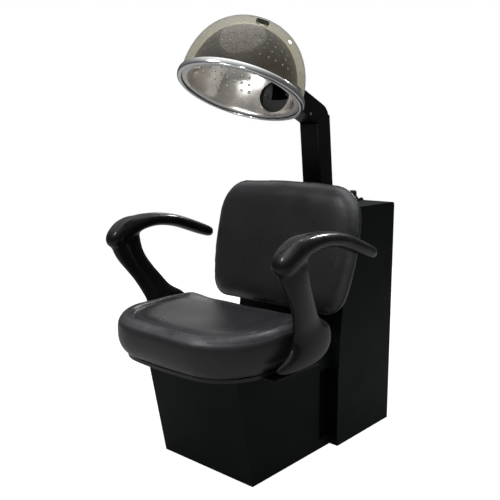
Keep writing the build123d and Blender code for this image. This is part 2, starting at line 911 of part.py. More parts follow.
pivot_local = hood_plane.to_local_coords(pivot)
pivot_back = pivot_local.Y
pivot_up = pivot_local.Z
elbow_half = post_inner_width / 2 - elbow_side_gap
elbow_radius = post_depth - post_wall - pivot_behind_front - elbow_back_gap
elbow_under = pivot_up - barrel_radius
elbow_over = pivot_up + elbow_radius
hood_screw_places = []
for sx in (-1, 1):
    for h in (elbow_under + 8, elbow_over - 6):
        hood_screw_places.append((-sx * (elbow_half + 8), h))
saddle_plane = Plane(
    origin=hood_origin + hood_back * (shell_radius - 2),
    x_dir=(-1, 0, 0),
    z_dir=hood_back,
)
slot_turn = radians(slot_bearing)
slot_aim = Vector(cos(slot_turn), -sin(slot_turn), 0) * (shell_radius - slot_in) + Vector(0, 0, slot_up)
slot_normal = hood_plane.from_local_coords(slot_aim) - hood_origin
slot_centre = hood_plane.from_local_coords(slot_aim + Vector(0, 0, slot_rise))
slot_along = hood_plane.from_local_coords(Vector(sin(slot_turn), cos(slot_turn), 0)) - hood_origin
slot_plane = Plane(origin=slot_centre, x_dir=slot_along, z_dir=slot_normal)

with BuildPart() as outer_shell:
    with BuildSketch(section_plane):
        with BuildLine():
            Spline(
                *dome_points(shell_radius, shell_height, shell_fullness, seal_height),
                tangents=[(0, 1), (-1, 0)],
            )
            Line((0, shell_height), (0, shell_height - shell_wall))
            Spline(
                *dome_points(
                    shell_radius - shell_wall, shell_height - shell_wall, shell_fullness, seal_height
                ),
                tangents=[(0, 1), (-1, 0)],
            )
            Line((shell_radius - shell_wall, seal_height), (shell_radius, seal_height))
        make_face()
    revolve(axis=hood_axis)
    with BuildSketch(saddle_plane):
        with Locations((0, (elbow_under + elbow_over) / 2)):
            Rectangle(2 * (elbow_half + fit), elbow_over - elbow_under + 2 * fit)
        with Locations(*hood_screw_places):
            Circle(screw_radius + fit)
    extrude(amount=-60, mode=Mode.SUBTRACT)
    with BuildSketch(slot_plane):
        SlotOverall(slot_length, slot_width)
    extrude(amount=30, both=True, mode=Mode.SUBTRACT)
save(outer_shell.part, "outer_shell")

lip_low = -liner_wall
gasket_low = lip_low - 2.5
rim_low = gasket_low - rim_lip
rim_high = rim_low + rim_height
rim_inner = shell_radius + fit
lip_inner = rim_radius - 13.5
shell_seal = [
    (shell_radius - 9, 0),
    (shell_radius, 0),
    (shell_radius, seal_height),
    (shell_radius - 9, seal_height),
]
rim_seal = [
    (lip_inner - 1.5, gasket_low),
    (rim_inner, gasket_low),
    (rim_inner, lip_low),
    (lip_inner - 1.5, lip_low),
]
rim_outline = [
    (lip_inner, rim_low),
    (rim_radius - 4, rim_low),
    (rim_radius - 1, rim_low + 1.2),
    (rim_radius, rim_low + 4),
    (rim_radius, rim_high - 6),
    (rim_radius - 1.5, rim_high - 2),
    (rim_radius - 5, rim_high),
    (rim_inner, rim_high),
    (rim_inner, gasket_low),
    (lip_inner, gasket_low),
]
save(ring(shell_seal, rim_seal), "hood_gaskets")
save(ring(rim_outline), "rim_ring")

# liner: polished inner dome with an outward lip and the air inlet
with BuildPart() as liner:
    with BuildSketch(section_plane):
        with BuildLine():
            Spline(
                *dome_points(liner_radius, liner_height, liner_fullness), tangents=[(0, 1), (-1, 0)]
            )
            Line((0, liner_height), (0, liner_height - liner_wall))
            Spline(
                *dome_points(
                    liner_radius - liner_wall, liner_height - liner_wall, liner_fullness, -liner_wall
                ),
                tangents=[(0, 1), (-1, 0)],
            )
            Polyline(
                (liner_radius - liner_wall, -liner_wall),
                (shell_radius, -liner_wall),
                (shell_radius, 0),
                (liner_radius, 0),
            )
        make_face()
    revolve(axis=hood_axis)
    with BuildSketch(saddle_plane):
        with Locations((0, inlet_centre_h)):
            Ellipse(inlet_width / 2, inlet_height / 2)
    extrude(amount=-shell_radius / 2, mode=Mode.SUBTRACT)
save(liner.part, "inner_liner")

with BuildPart() as grommet:
    with BuildSketch(slot_plane):
        SlotOverall(slot_length - 2 * fit, slot_width - 2 * fit)
        SlotOverall(slot_length - 7, slot_width - 6, mode=Mode.SUBTRACT)
    extrude(amount=4, both=True)
    with BuildSketch(slot_plane):
        SlotOverall(slot_length - 6, slot_width - 5)
    extrude(amount=-2)
save(grommet.part, "vent_grommet")

# inlet box: closes the space between liner and shell round the air inlet
box_wall = 2
box_half = inlet_width / 2 + 6
box_low = inlet_centre_h - inlet_height / 2 - 4
box_high = elbow_over + 4
under_shell = dome_solid(shell_radius - shell_wall - 1.5, shell_height - shell_wall - 1.5, shell_fullness)
under_box = dome_solid(
    shell_radius - shell_wall - 1.5 - box_wall,
    shell_height - shell_wall - 1.5 - box_wall,
    shell_fullness,
)
over_liner = dome_solid(liner_radius + fit, liner_height + fit, liner_fullness)
over_shell = dome_solid(shell_radius + fit, shell_height + fit, shell_fullness)
saddle_dome = dome_solid(shell_radius + fit + 3, shell_height + fit + 3, shell_fullness)


def behind(half_width, low, high):
    """Block behind the hood's axis, between two heights above the rim."""
    with BuildPart() as chunk:
        with BuildSketch(Plane(origin=hood_origin, x_dir=(-1, 0, 0), z_dir=hood_back)):
            with Locations((0, (low + high) / 2)):
                Rectangle(2 * half_width, high - low)
        extrude(amount=1.2 * shell_radius)
    return chunk.part


box_outside = behind(box_half, box_low, box_high)
box_inside = behind(box_half - box_wall, box_low + box_wall, box_high - box_wall)
duct_inside = behind(elbow_half - elbow_wall, elbow_under + elbow_wall, elbow_over - elbow_wall)
with BuildPart() as inlet_box:
    add(box_outside & under_shell)
    add(over_liner, mode=Mode.SUBTRACT)
    add(box_inside & under_box, mode=Mode.SUBTRACT)
    add(duct_inside, mode=Mode.SUBTRACT)
    bore(hood_screw_places, saddle_plane, screw_radius, hood_screw_length)
save(inlet_box.part, "inlet_box")

# ============================ elbow and hinge ================================
elbow_plane = Plane(origin=pivot, x_dir=-hood_back, z_dir=(-1, 0, 0))
elbow_reach = pivot_back - shell_radius / 2
inner_radius = elbow_radius - elbow_wall
passage_floor = elbow_wall - barrel_radius
saddle_outside = behind(elbow_half + saddle_margin, elbow_under - 8, elbow_over + 8)
saddle_skin = saddle_outside & saddle_dome
spacer_plane = Plane(
    origin=elbow_plane.from_local_coords(Vector(*spacer_place, 0)), x_dir=(0, 1, 0), z_dir=(1, 0, 0)
)
with BuildPart() as saddle:
    add(saddle_skin)
    with BuildSketch(saddle_plane):
        with Locations(*hood_screw_places):
            Circle(6)
    extrude(amount=-50)
    add(over_shell, mode=Mode.SUBTRACT)
with BuildPart() as elbow:
    with BuildSketch(elbow_plane):
        with BuildLine():
            Polyline((0, elbow_radius), (elbow_reach, elbow_radius), (elbow_reach, -barrel_radius))
            Line((elbow_reach, -barrel_radius), (0, -barrel_radius))
            RadiusArc((0, -barrel_radius), (-barrel_radius, 0), barrel_radius)
            Line((-barrel_radius, 0), (-elbow_radius, 0))
            RadiusArc((-elbow_radius, 0), (0, elbow_radius), elbow_radius)
        make_face()
    extrude(amount=elbow_half, both=True)
    add(under_shell, mode=Mode.SUBTRACT)
    add(saddle.part)
    with BuildSketch(elbow_plane):
        with BuildLine():
            Polyline((0, inner_radius), (elbow_reach, inner_radius), (elbow_reach, passage_floor))
            Polyline((elbow_reach, passage_floor), (0, passage_floor), (0, 0))
            Line((0, 0), (-inner_radius, 0))
            RadiusArc((-inner_radius, 0), (0, inner_radius), inner_radius)
        make_face()
        Circle(barrel_radius, mode=Mode.SUBTRACT)
    extrude(amount=elbow_half - elbow_wall, both=True, mode=Mode.SUBTRACT)
    with BuildSketch(pivot_plane):
        Circle(pin_radius + running)
    extrude(amount=post_width, both=True, mode=Mode.SUBTRACT)
    with BuildSketch(spacer_plane):
        Circle(screw_radius)
    extrude(amount=post_width, both=True, mode=Mode.SUBTRACT)
    bore(hood_screw_places, saddle_plane, screw_radius + fit, hood_screw_length)
save(elbow.part, "elbow_duct")
screw_set(
    "hood_screws", hood_screw_places, saddle_plane, screw_radius,
    hood_screw_length, screw_head_radius, screw_head,
)

with BuildPart() as spacer:
    with BuildSketch(spacer_plane):
        Circle(5)
        Circle(screw_radius, mode=Mode.SUBTRACT)
    extrude(amount=elbow_half - elbow_wall, both=True)
save(spacer.part, "elbow_spacer")

with BuildPart() as elbow_screws:
    for sx in (-1, 1):
        with BuildSketch(spacer_plane.offset(sx * elbow_half)):
            Circle(screw_head_radius)
        extrude(amount=sx * screw_head)
        with BuildSketch(spacer_plane.offset(sx * elbow_half)):
            Circle(screw_radius)
        extrude(amount=-sx * 14)
save(elbow_screws.part, "elbow_screws")

with BuildPart() as hinge_pin:
    with BuildSketch(pivot_plane):
        Circle(pin_radius)
    extrude(amount=post_width / 2 + pin_head, both=True)
    for sx in (-1, 1):
        with BuildSketch(pivot_plane.offset(sx * post_width / 2)):
            Circle(pin_head_radius)
        extrude(amount=sx * pin_head)
save(hinge_pin.part, "hinge_pin")

washer_gap = 0.15
with BuildPart() as washers:
    for sx in (-1, 1):
        with BuildSketch(pivot_plane.offset(sx * (elbow_half + washer_gap))):
            Circle(barrel_radius - 1)
            Circle(pin_radius + running, mode=Mode.SUBTRACT)
        extrude(amount=sx * (elbow_side_gap - 2 * washer_gap))
save(washers.part, "friction_washers")

# ============================ controls =======================================
with BuildPart() as control_plate:
    with BuildSketch(Plane.XY.offset(cabinet_height)):
        with Locations((0, plate_centre_y)):
            RectangleRounded(plate_width, plate_depth, 8)
    extrude(amount=plate_thickness)
    chamfer(control_plate.faces().sort_by(Axis.Z)[-1].edges(), length=1)
    bore(knob_places, plate_plane, stem_radius + fit, plate_thickness)
    bore(plate_screw_places, plate_plane, screw_radius + fit, plate_thickness)
save(control_plate.part, "control_plate")

screw_groups = (
    (cover_places, cover_plane, cover_screw_length),
    (flange_places, flange_plane, flange_screw_length),
    (plate_screw_places, plate_plane, plate_screw_length),
)
with BuildPart() as cabinet_screws:
    for places, plane, length in screw_groups:
        with BuildSketch(plane):
            with Locations(*places):
                Circle(screw_head_radius)
        extrude(amount=screw_head)
        with BuildSketch(plane):
            with Locations(*places):
                Circle(screw_radius)
        extrude(amount=-length)
save(cabinet_screws.part, "cabinet_screws")


def control(name, place, depth):
    """Switch body under the plate, its stem and the knob above it."""
    with BuildPart() as body:
        with BuildSketch(Plane.XY.offset(cabinet_height)):
            with Locations(place):
                Rectangle(control_body, control_body)
        extrude(amount=-depth)
        with BuildSketch(Plane.XY.offset(cabinet_height)):
            with Locations(place):
                Circle(stem_radius + running)
        extrude(amount=-depth + 4, mode=Mode.SUBTRACT)
    save(body.part, name + "_body")
    with BuildPart() as stem:
        with BuildSketch(Plane.XY.offset(cabinet_height - depth + 4 + fit)):
            with Locations(place):
                Circle(stem_radius)
        extrude(amount=depth - 4 - fit + plate_thickness + knob_height / 2)
    save(stem.part, name + "_stem")
    with BuildPart() as knob:
        with BuildSketch(Plane.XY.offset(plate_top + knob_gap)):
            with Locations(place):
                Circle(knob_radius)
        extrude(amount=knob_height * knob_skirt)
        with BuildSketch(Plane.XY.offset(plate_top + knob_gap + knob_height * knob_skirt)):
            with Locations(place):
                Circle(knob_radius * knob_grip)
                with PolarLocations(knob_radius * knob_grip + 0.5, knob_flutes):
                    Circle(2, mode=Mode.SUBTRACT)
        extrude(amount=knob_height * (1 - knob_skirt))
        fillet(knob.faces().sort_by(Axis.Z)[-1].edges(), radius=1.5)
        with BuildSketch(Plane.XY.offset(plate_top)):
            with Locations(place):
                Circle(stem_radius)
        extrude(amount=knob_height / 2, mode=Mode.SUBTRACT)
    save(knob.part, name + "_knob")


control("timer", knob_places[0], timer_depth)
control("heat", knob_places[1], heat_depth)
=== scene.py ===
import json
import math

import bpy
import numpy as np
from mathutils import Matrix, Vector, geometry, noise


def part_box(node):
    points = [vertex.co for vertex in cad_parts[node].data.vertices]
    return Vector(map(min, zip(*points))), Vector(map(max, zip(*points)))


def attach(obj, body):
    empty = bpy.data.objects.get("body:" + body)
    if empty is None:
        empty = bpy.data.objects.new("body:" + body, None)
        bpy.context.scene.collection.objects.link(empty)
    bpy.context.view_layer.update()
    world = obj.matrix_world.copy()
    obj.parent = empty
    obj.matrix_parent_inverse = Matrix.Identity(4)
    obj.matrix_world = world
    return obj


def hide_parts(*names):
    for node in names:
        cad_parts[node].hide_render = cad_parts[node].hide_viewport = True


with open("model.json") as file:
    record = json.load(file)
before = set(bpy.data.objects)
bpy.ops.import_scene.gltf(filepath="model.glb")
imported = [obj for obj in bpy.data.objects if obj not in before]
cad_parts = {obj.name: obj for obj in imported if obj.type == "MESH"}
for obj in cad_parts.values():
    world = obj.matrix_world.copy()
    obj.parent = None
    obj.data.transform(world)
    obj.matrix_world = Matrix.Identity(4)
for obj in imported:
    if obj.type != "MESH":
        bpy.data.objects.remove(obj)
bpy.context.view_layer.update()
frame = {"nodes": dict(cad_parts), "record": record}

bl_info = {
    "name": "Hood Dryer Chair",
    "version": (1, 0, 0),
    "blender": (4, 5, 0),
    "location": "3D Viewport > Sidebar > Dryer Chair",
    "description": "Upholstery, arms, hood, dials and finishes of a salon dryer chair",
    "category": "Object",
}

NODES = frame["nodes"]
MILLI = 0.001
MERGE_GAP = 1e-5  # points nearer than this are one
TINY = 1e-9
OVAL_POINTS = 28


# ---- mesh helpers
def only(piece):
    """Select one object alone and make it the active one."""
    if bpy.context.object and bpy.context.object.mode != "OBJECT":
        bpy.ops.object.mode_set(mode="OBJECT")
    bpy.ops.object.select_all(action="DESELECT")
    piece.select_set(True)
    bpy.context.view_layer.objects.active = piece


def points_of(piece):
    """Vertex places as an array, one row each."""
    flat = np.empty(len(piece.data.vertices) * 3)
    piece.data.vertices.foreach_get("co", flat)
    return flat.reshape(-1, 3)


def normals_of(piece):
    """Vertex normals as an array, one row each."""
    return np.array([v.normal for v in piece.data.vertices])


def move_points(piece, places):
    """Write vertex places back to a mesh."""
    piece.data.vertices.foreach_set("co", np.ascontiguousarray(places, dtype=float).ravel())
    piece.data.update()


def finish_with(piece, kind, **settings):
    """Add one modifier and apply it."""
    only(piece)
    modifier = piece.modifiers.new(kind.title(), kind)
    for key, value in settings.items():
        setattr(modifier, key, value)
    bpy.ops.object.modifier_apply(modifier=modifier.name)


def tidy_shell(piece):
    """Merge doubled points and turn every face outwards."""
    only(piece)
    bpy.ops.object.mode_set(mode="EDIT")
    bpy.ops.mesh.select_all(action="SELECT")
    bpy.ops.mesh.remove_doubles(threshold=MERGE_GAP)
    bpy.ops.mesh.normals_make_consistent(inside=False)
    bpy.ops.object.mode_set(mode="OBJECT")


def smooth(piece, degrees=35):
    """Smooth shading that keeps edges sharper than an angle."""
    only(piece)
    bpy.ops.object.shade_smooth_by_angle(angle=math.radians(degrees))


def place(piece, location=(0, 0, 0), turn=(0, 0, 0)):
    """Turn and move a piece, then bake its place into the mesh."""
    only(piece)
    piece.rotation_euler = turn
    piece.location = location
    bpy.ops.object.transform_apply(location=True, rotation=True, scale=True)


def join(pieces, name):
    """Join pieces into the first one."""
    only(pieces[0])
    for piece in pieces:
        piece.select_set(True)
    bpy.ops.object.join()
    pieces[0].name = name
    pieces[0].data.name = name
    return pieces[0]


def copy_of(piece, name):
    """A copy with a mesh of its own."""
    twin = bpy.data.objects.new(name, piece.data.copy())
    bpy.context.scene.collection.objects.link(twin)
    return twin


def primitive(kind, name, **settings):
    """Add a primitive with nothing else selected, and name it."""
    bpy.ops.object.select_all(action="DESELECT")
    getattr(bpy.ops.mesh, f"primitive_{kind}_add")(**settings)
    piece = bpy.context.object
    piece.name = name
    piece.data.name = name
    return piece


def turned(name, profile, steps, closed=True):
    """Spin a profile of (radius, height) points round the upright axis."""
    piece = primitive("circle", name, vertices=len(profile), radius=1)
    for vertex, (radius, height) in zip(piece.data.vertices, profile):
        vertex.co = (radius, 0, height)
    bpy.ops.object.mode_set(mode="EDIT")
    if not closed:
        bpy.ops.mesh.select_all(action="DESELECT")
        bpy.ops.object.mode_set(mode="OBJECT")
        ends = {0, len(profile) - 1}
        for edge in piece.data.edges:
            edge.select = set(edge.vertices) == ends
        bpy.ops.object.mode_set(mode="EDIT")
        bpy.ops.mesh.select_mode(type="EDGE")
        bpy.ops.mesh.delete(type="EDGE")
        bpy.ops.mesh.select_mode(type="VERT")
    bpy.ops.mesh.select_all(action="SELECT")
    bpy.ops.mesh.spin(steps=steps, angle=math.tau, center=(0, 0, 0), axis=(0, 0, 1))
    bpy.ops.object.mode_set(mode="OBJECT")
    tidy_shell(piece)
    return piece


def lofted(name, rings):
    """Skin through rings of equal count; the first and last rings close to a point."""
    count = len(rings[0])
    gaps = len(rings) - 1
    piece = primitive("grid", name, x_subdivisions=count, y_subdivisions=gaps, size=2)
    for vertex in piece.data.vertices:
        column = round((vertex.co.x + 1) / 2 * count)
        row = round((vertex.co.y + 1) / 2 * gaps)
        vertex.co = rings[row][column % count]
    tidy_shell(piece)
    return piece


def oval(centre, side, rise, power):
    """Superellipse of points about a centre, from two half axes."""
    points = []
    for i in range(OVAL_POINTS):
        turn = math.tau * i / OVAL_POINTS
        c, s = math.cos(turn), math.sin(turn)
        a = math.copysign(abs(c) ** (2 / power), c)
        b = math.copysign(abs(s) ** (2 / power), s)
        points.append(centre + side * a + rise * b)
    return points


def cut_with(piece, cutter):
    """Take a cutter's shape out of a piece and remove the cutter."""
    finish_with(piece, "BOOLEAN", operation="DIFFERENCE", object=cutter, solver="EXACT")
    bpy.data.objects.remove(cutter)


def bar(name, size, centre, bevel):
    """Block with rounded edges."""
    piece = primitive("cube", name, size=1, location=centre)
    piece.scale = size
    bpy.ops.object.transform_apply(location=True, rotation=True, scale=True)
    bpy.ops.object.mode_set(mode="EDIT")
    bpy.ops.mesh.select_all(action="SELECT")
    bpy.ops.mesh.bevel(offset=bevel, segments=3, affect="EDGES")
    bpy.ops.object.mode_set(mode="OBJECT")
    return piece


# ---- shared effects
def shader_group(name, inputs, outputs):
    """Empty shader node group with named sockets."""
    group = bpy.data.node_groups.new(name, "ShaderNodeTree")
    for label, kind, default in inputs:
        socket = group.interface.new_socket(label, in_out="INPUT", socket_type=kind)
        if default is not None:
            socket.default_value = default
    for label, kind in outputs:
        group.interface.new_socket(label, in_out="OUTPUT", socket_type=kind)
    ends = group.nodes.new("NodeGroupInput"), group.nodes.new("NodeGroupOutput")
    return group, *ends


def mathematics(tree, operation, a, b):
    """Math node fed by sockets or numbers; returns its output."""
    node = tree.nodes.new("ShaderNodeMath")
    node.operation = operation
    for socket, value in zip(node.inputs, (a, b)):
        if isinstance(value, (int, float)):
            socket.default_value = value
        else:
            tree.links.new(value, socket)
    return node.outputs[0]


def ranged(tree, value, **ends):
    """Map Range node on a value, with the ends that are given; returns its output."""
    node = tree.nodes.new("ShaderNodeMapRange")
    for key, number in ends.items():
        node.inputs[key.replace("_", " ")].default_value = number
    tree.links.new(value, node.inputs["Value"])
    return node.outputs[0]


def noise_node(tree, vector, scale, detail, rough=0.55):
    """Noise texture on a vector socket; returns its value output."""
    node = tree.nodes.new("ShaderNodeTexNoise")
    node.inputs["Detail"].default_value = detail
    node.inputs["Roughness"].default_value = rough
    tree.links.new(vector, node.inputs["Vector"])
    if isinstance(scale, (int, float)):
        node.inputs["Scale"].default_value = scale
    else:
        tree.links.new(scale, node.inputs["Scale"])
    return node.outputs["Fac"]


def build_wear():
    """Patches of handling, rubbing and dust, as one mask from 0 to 1."""
    group, start, end = shader_group(
        "Handling Wear",
        [("Vector", "NodeSocketVector", None), ("Patches", "NodeSocketFloat", 9.0)],
        [("Mask", "NodeSocketFloat"), ("Specks", "NodeSocketFloat")],
    )
    broad = noise_node(group, start.outputs["Vector"], start.outputs["Patches"], 5)
    group.links.new(ranged(group, broad, From_Min=0.35, From_Max=0.68), end.inputs["Mask"])
    fine = noise_node(group, start.outputs["Vector"], 520.0, 2)
    group.links.new(ranged(group, fine, From_Min=0.66, From_Max=0.74), end.inputs["Specks"])
    return group


def build_hide():
    """Embossed hide grain of coated cloth, with slow folds under it."""
    group, start, end = shader_group(
        "Hide Grain",
        [("Vector", "NodeSocketVector", None), ("Pebbles", "NodeSocketFloat", 620.0)],
        [("Height", "NodeSocketFloat"), ("Valleys", "NodeSocketFloat")],
    )
    cells = group.nodes.new("ShaderNodeTexVoronoi")
    cells.feature = "DISTANCE_TO_EDGE"
    group.links.new(start.outputs["Vector"], cells.inputs["Vector"])
    group.links.new(start.outputs["Pebbles"], cells.inputs["Scale"])
    edge = ranged(group, cells.outputs["Distance"], From_Max=0.22)
    fine = noise_node(group, start.outputs["Vector"], 900.0, 3)
    slow = noise_node(group, start.outputs["Vector"], 14.0, 3)
    pebble = mathematics(group, "MULTIPLY", edge, 0.5)
    grit = mathematics(group, "MULTIPLY", fine, 0.35)
    sway = mathematics(group, "MULTIPLY", slow, 2.2)
    total = mathematics(group, "ADD", mathematics(group, "ADD", pebble, grit), sway)
    group.links.new(total, end.inputs["Height"])
    group.links.new(edge, end.inputs["Valleys"])
    return group


def build_streaks():
    """Long directional streaks for brushed metal and laminate print."""
    group, start, end = shader_group(
        "Long Streaks",
        [
            ("Vector", "NodeSocketVector", None),
            ("Along", "NodeSocketVector", (1.0, 1.0, 0.03)),
            ("Density", "NodeSocketFloat", 300.0),
        ],
        [("Streak", "NodeSocketFloat")],
    )
    stretch = group.nodes.new("ShaderNodeVectorMath")
    stretch.operation = "MULTIPLY"
    group.links.new(start.outputs["Vector"], stretch.inputs[0])
    group.links.new(start.outputs["Along"], stretch.inputs[1])
    lines = noise_node(group, stretch.outputs[0], start.outputs["Density"], 4)
    group.links.new(lines, end.inputs["Streak"])
    return group


EFFECTS = {}
RUB_AND_SHEEN = "rub_and_sheen"  # point attribute, 0 to 1: wear from use, together with a painted highlight on roll tops, borders and arm crests


def mark_rub_and_sheen(piece, amounts):
    """Store how much each point is worn by use and lit by a painted highlight."""
    layer = piece.data.attributes.new(RUB_AND_SHEEN, "FLOAT", "POINT")
    layer.data.foreach_set("value", np.clip(amounts, 0, 1).astype(np.float32))


def effect(tree, name, **values):
    """Place a shared group in a material and set its own values."""
    if name not in EFFECTS:
        EFFECTS[name] = {
            "Handling Wear": build_wear,
            "Hide Grain": build_hide,
            "Long Streaks": build_streaks,
        }[name]()
    node = tree.nodes.new("ShaderNodeGroup")
    node.node_tree = EFFECTS[name]
    for key, value in values.items():
        node.inputs[key].default_value = value
    return node


class Finish:
    """One procedural material, built up effect by effect."""

    def __init__(self, name, colour, rough=0.5, **shader):
        self.material = bpy.data.materials.new(name)
        self.material.use_nodes = True
        self.tree = self.material.node_tree
        self.shader = self.tree.nodes["Principled BSDF"]
        self.shader.inputs["Base Color"].default_value = (*colour, 1)
        self.shader.inputs["Roughness"].default_value = rough
        for key, value in shader.items():
            self.shader.inputs[key.replace("_", " ")].default_value = value
        self.place = self.tree.nodes.new("ShaderNodeTexCoord").outputs["Object"]

    def group(self, name, **values):
        """Place a shared effect on the piece's own coordinates."""
        node = effect(self.tree, name, **values)
        self.tree.links.new(self.place, node.inputs["Vector"])
        return node

    def roughness(self, mask, low, high):
        """Roughness between two values, led by a mask."""
        span = ranged(self.tree, mask, To_Min=low, To_Max=high)
        self.tree.links.new(span, self.shader.inputs["Roughness"])

    def worn(self, patches, low, high):
        """Handling wear that leads the roughness; returns its mask and its specks."""
        wear = self.group("Handling Wear", Patches=patches).outputs
        self.roughness(wear["Mask"], low, high)
        return wear["Mask"], wear["Specks"]

    def blend_to(self, mask, tint):
        """Mix node that brings a tint in by a mask and feeds the base colour."""
        mix = self.tree.nodes.new("ShaderNodeMix")
        mix.data_type = "RGBA"
        mix.inputs["B"].default_value = (*tint, 1)
        self.tree.links.new(mask, mix.inputs["Factor"])
        self.tree.links.new(mix.outputs["Result"], self.shader.inputs["Base Color"])
        return mix.inputs["A"]

    def colours(self, mask, first, second):
        """Colour between two tints, led by a mask."""
        self.blend_to(mask, second).default_value = (*first, 1)

    def bump(self, height, strength, distance):
        """Surface relief from a height."""
        node = self.tree.nodes.new("ShaderNodeBump")
        node.inputs["Strength"].default_value = strength
        node.inputs["Distance"].default_value = distance
        self.tree.links.new(height, node.inputs["Height"])
        self.tree.links.new(node.outputs[0], self.shader.inputs["Normal"])

    def paint_rub_and_sheen(self, mask, rub_sheen_tint):
        """Paler colour where the piece's own rub attribute and a mask meet: wear, and a painted
        highlight on tops and edges.
        """
        rub_and_sheen = self.tree.nodes.new("ShaderNodeAttribute")
        rub_and_sheen.attribute_name = RUB_AND_SHEEN
        share = mathematics(self.tree, "MULTIPLY", rub_and_sheen.outputs["Fac"], mask)
        below = self.shader.inputs["Base Color"].links[0].from_socket
        self.tree.links.new(below, self.blend_to(share, rub_sheen_tint))

    def noise(self, scale, detail=3):
        """Noise value over the piece."""
        return noise_node(self.tree, self.place, scale, detail)

    def cells(self, scale):
        """Outputs of a cell texture over the piece."""
        node = self.tree.nodes.new("ShaderNodeTexVoronoi")
        node.inputs["Scale"].default_value = scale
        self.tree.links.new(self.place, node.inputs["Vector"])
        return node.outputs


def lighter(colour, factor):
    """The same tint, lighter or darker."""
    return tuple(min(1.0, channel * factor) for channel in colour)


def make_vinyl(colour):
    gloss = {"Coat_Weight": 0.1, "Coat_Roughness": 0.25, "Specular_IOR_Level": 0.4}
    vinyl = Finish("Upholstery Vinyl", colour, **gloss)
    grain = vinyl.group("Hide Grain", Pebbles=560.0)
    vinyl.bump(grain.outputs["Height"], 0.35, 0.0006)
    vinyl.colours(grain.outputs["Valleys"], lighter(colour, 0.7), lighter(colour, 1.12))
    # Pale tint on the seat roll, its side seam and the back's border: partly wear, partly painted
    # highlight.
    vinyl.paint_rub_and_sheen(vinyl.worn(8.0, 0.25, 0.38)[0], (0.12, 0.12, 0.125))
    return vinyl.material


def make_urethane(colour):
    gloss = {"Coat_Weight": 0.3, "Coat_Roughness": 0.07, "Specular_IOR_Level": 0.15}
    skin = Finish("Moulded Urethane", colour, **gloss)
    mask, _ = skin.worn(14.0, 0.25, 0.38)
    skin.bump(skin.group("Hide Grain", Pebbles=1100.0).outputs["Height"], 0.1, 0.0004)
    skin.colours(mask, colour, lighter(colour, 1.35))
    # Pale tint on the arm crests is a painted highlight, laid in patches by the wear mask.
    skin.paint_rub_and_sheen(mask, (0.075, 0.075, 0.078))
    return skin.material


def make_laminate(colour):
    panel = Finish("Black Laminate", colour, Specular_IOR_Level=0.08)
    panel.worn(5.0, 0.4, 0.52)
    lines = panel.group("Long Streaks", Along=(1.0, 1.0, 0.035), Density=260.0).outputs["Streak"]
    panel.colours(lines, lighter(colour, 0.7), lighter(colour, 1.3))
    panel.bump(lines, 0.12, 0.0004)
    return panel.material


def make_powder_coat(colour):
    coat = Finish("Black Powder Coat", colour, Specular_IOR_Level=0.16)
    coat.bump(coat.noise(1500.0), 0.18, 0.0004)
    coat.colours(coat.worn(16.0, 0.3, 0.44)[1], colour, lighter(colour, 2.4))
    return coat.material


def make_acrylic(colour):
    clear = Finish("Smoked Acrylic", colour, Transmission_Weight=1.0, IOR=1.49)
    clear.worn(6.0, 0.025, 0.06)
    return clear.material


def make_metal(name, colour, low, high, density, relief=0.0):
    metal = Finish(name, colour, Metallic=1.0)
    metal.worn(12.0, low, high)
    lines = metal.group("Long Streaks", Along=(1.0, 1.0, 1.0), Density=density).outputs["Streak"]
    metal.colours(lines, lighter(colour, 0.9), lighter(colour, 1.07))
    if relief:
        metal.bump(lines, relief, 0.0003)
    return metal.material


# Painted shade: this dark brown stands in for the dark reflections on the liner's outside, and paints a
# shadowed ring in each flared hole.
def make_liner_painted_shade(colour):
    shade_coat = Finish("Liner Outside Painted Shade", colour, Metallic=0.4)
    shade_coat.colours(shade_coat.worn(10.0, 0.38, 0.5)[0], colour, lighter(colour, 1.7))
    return shade_coat.material


def make_rubber(colour):
    rubber = Finish("Black Rubber", colour)
    rubber.bump(rubber.noise(900.0), 0.25, 0.0004)
    rubber.colours(rubber.worn(20.0, 0.55, 0.75)[1], colour, lighter(colour, 3))
    return rubber.material


def make_moulding(name, colour, low, high):
    plastic = Finish(name, colour)
    plastic.bump(plastic.noise(1900.0, 2), 0.2, 0.0003)
    plastic.colours(plastic.worn(24.0, low, high)[0], colour, lighter(colour, 1.3))
    return plastic.material


def make_galvanised(colour):
    sheet = Finish("Galvanised Sheet", colour, Metallic=1.0)
    tone = sheet.tree.nodes.new("ShaderNodeSeparateColor")
    sheet.tree.links.new(sheet.cells(110.0)["Color"], tone.inputs[0])
    sheet.colours(tone.outputs[0], lighter(colour, 0.75), lighter(colour, 1.2))
    sheet.roughness(tone.outputs[1], 0.3, 0.5)
    return sheet.material


def make_mica(colour):
    board = Finish("Mica Board", colour)
    flakes = board.noise(180.0, 6)
    board.colours(flakes, lighter(colour, 0.6), lighter(colour, 1.3))
    board.roughness(flakes, 0.3, 0.65)
    board.bump(flakes, 0.2, 0.0005)
    return board.material


def make_foam(colour):
    foam = Finish("Filter Foam", colour, 0.95)
    pores = foam.cells(420.0)["Distance"]
    foam.colours(pores, lighter(colour, 0.3), lighter(colour, 1.4))
    foam.bump(pores, 0.9, 0.002)
    return foam.material


def make_white_mark():
    clean, soiled = (0.8, 0.8, 0.78), (0.62, 0.62, 0.6)
    mark = Finish("White Marking", clean)
    mark.colours(mark.worn(60.0, 0.4, 0.55)[0], clean, soiled)
    return mark.material


FLOOR_SEEN = 0.93  # glow of the floor where the view meets it
FLOOR_MIRRORED = 0.06  # glow of the floor in glossy reflections


def ray_kinds(tree):
    """Masks of the rays that see a place directly or through glass, and of glossy ones."""
    path = tree.nodes.new("ShaderNodeLightPath").outputs
    seen = mathematics(tree, "MAXIMUM", path["Is Camera Ray"], path["Is Transmission Ray"])
    return seen, path["Is Glossy Ray"]


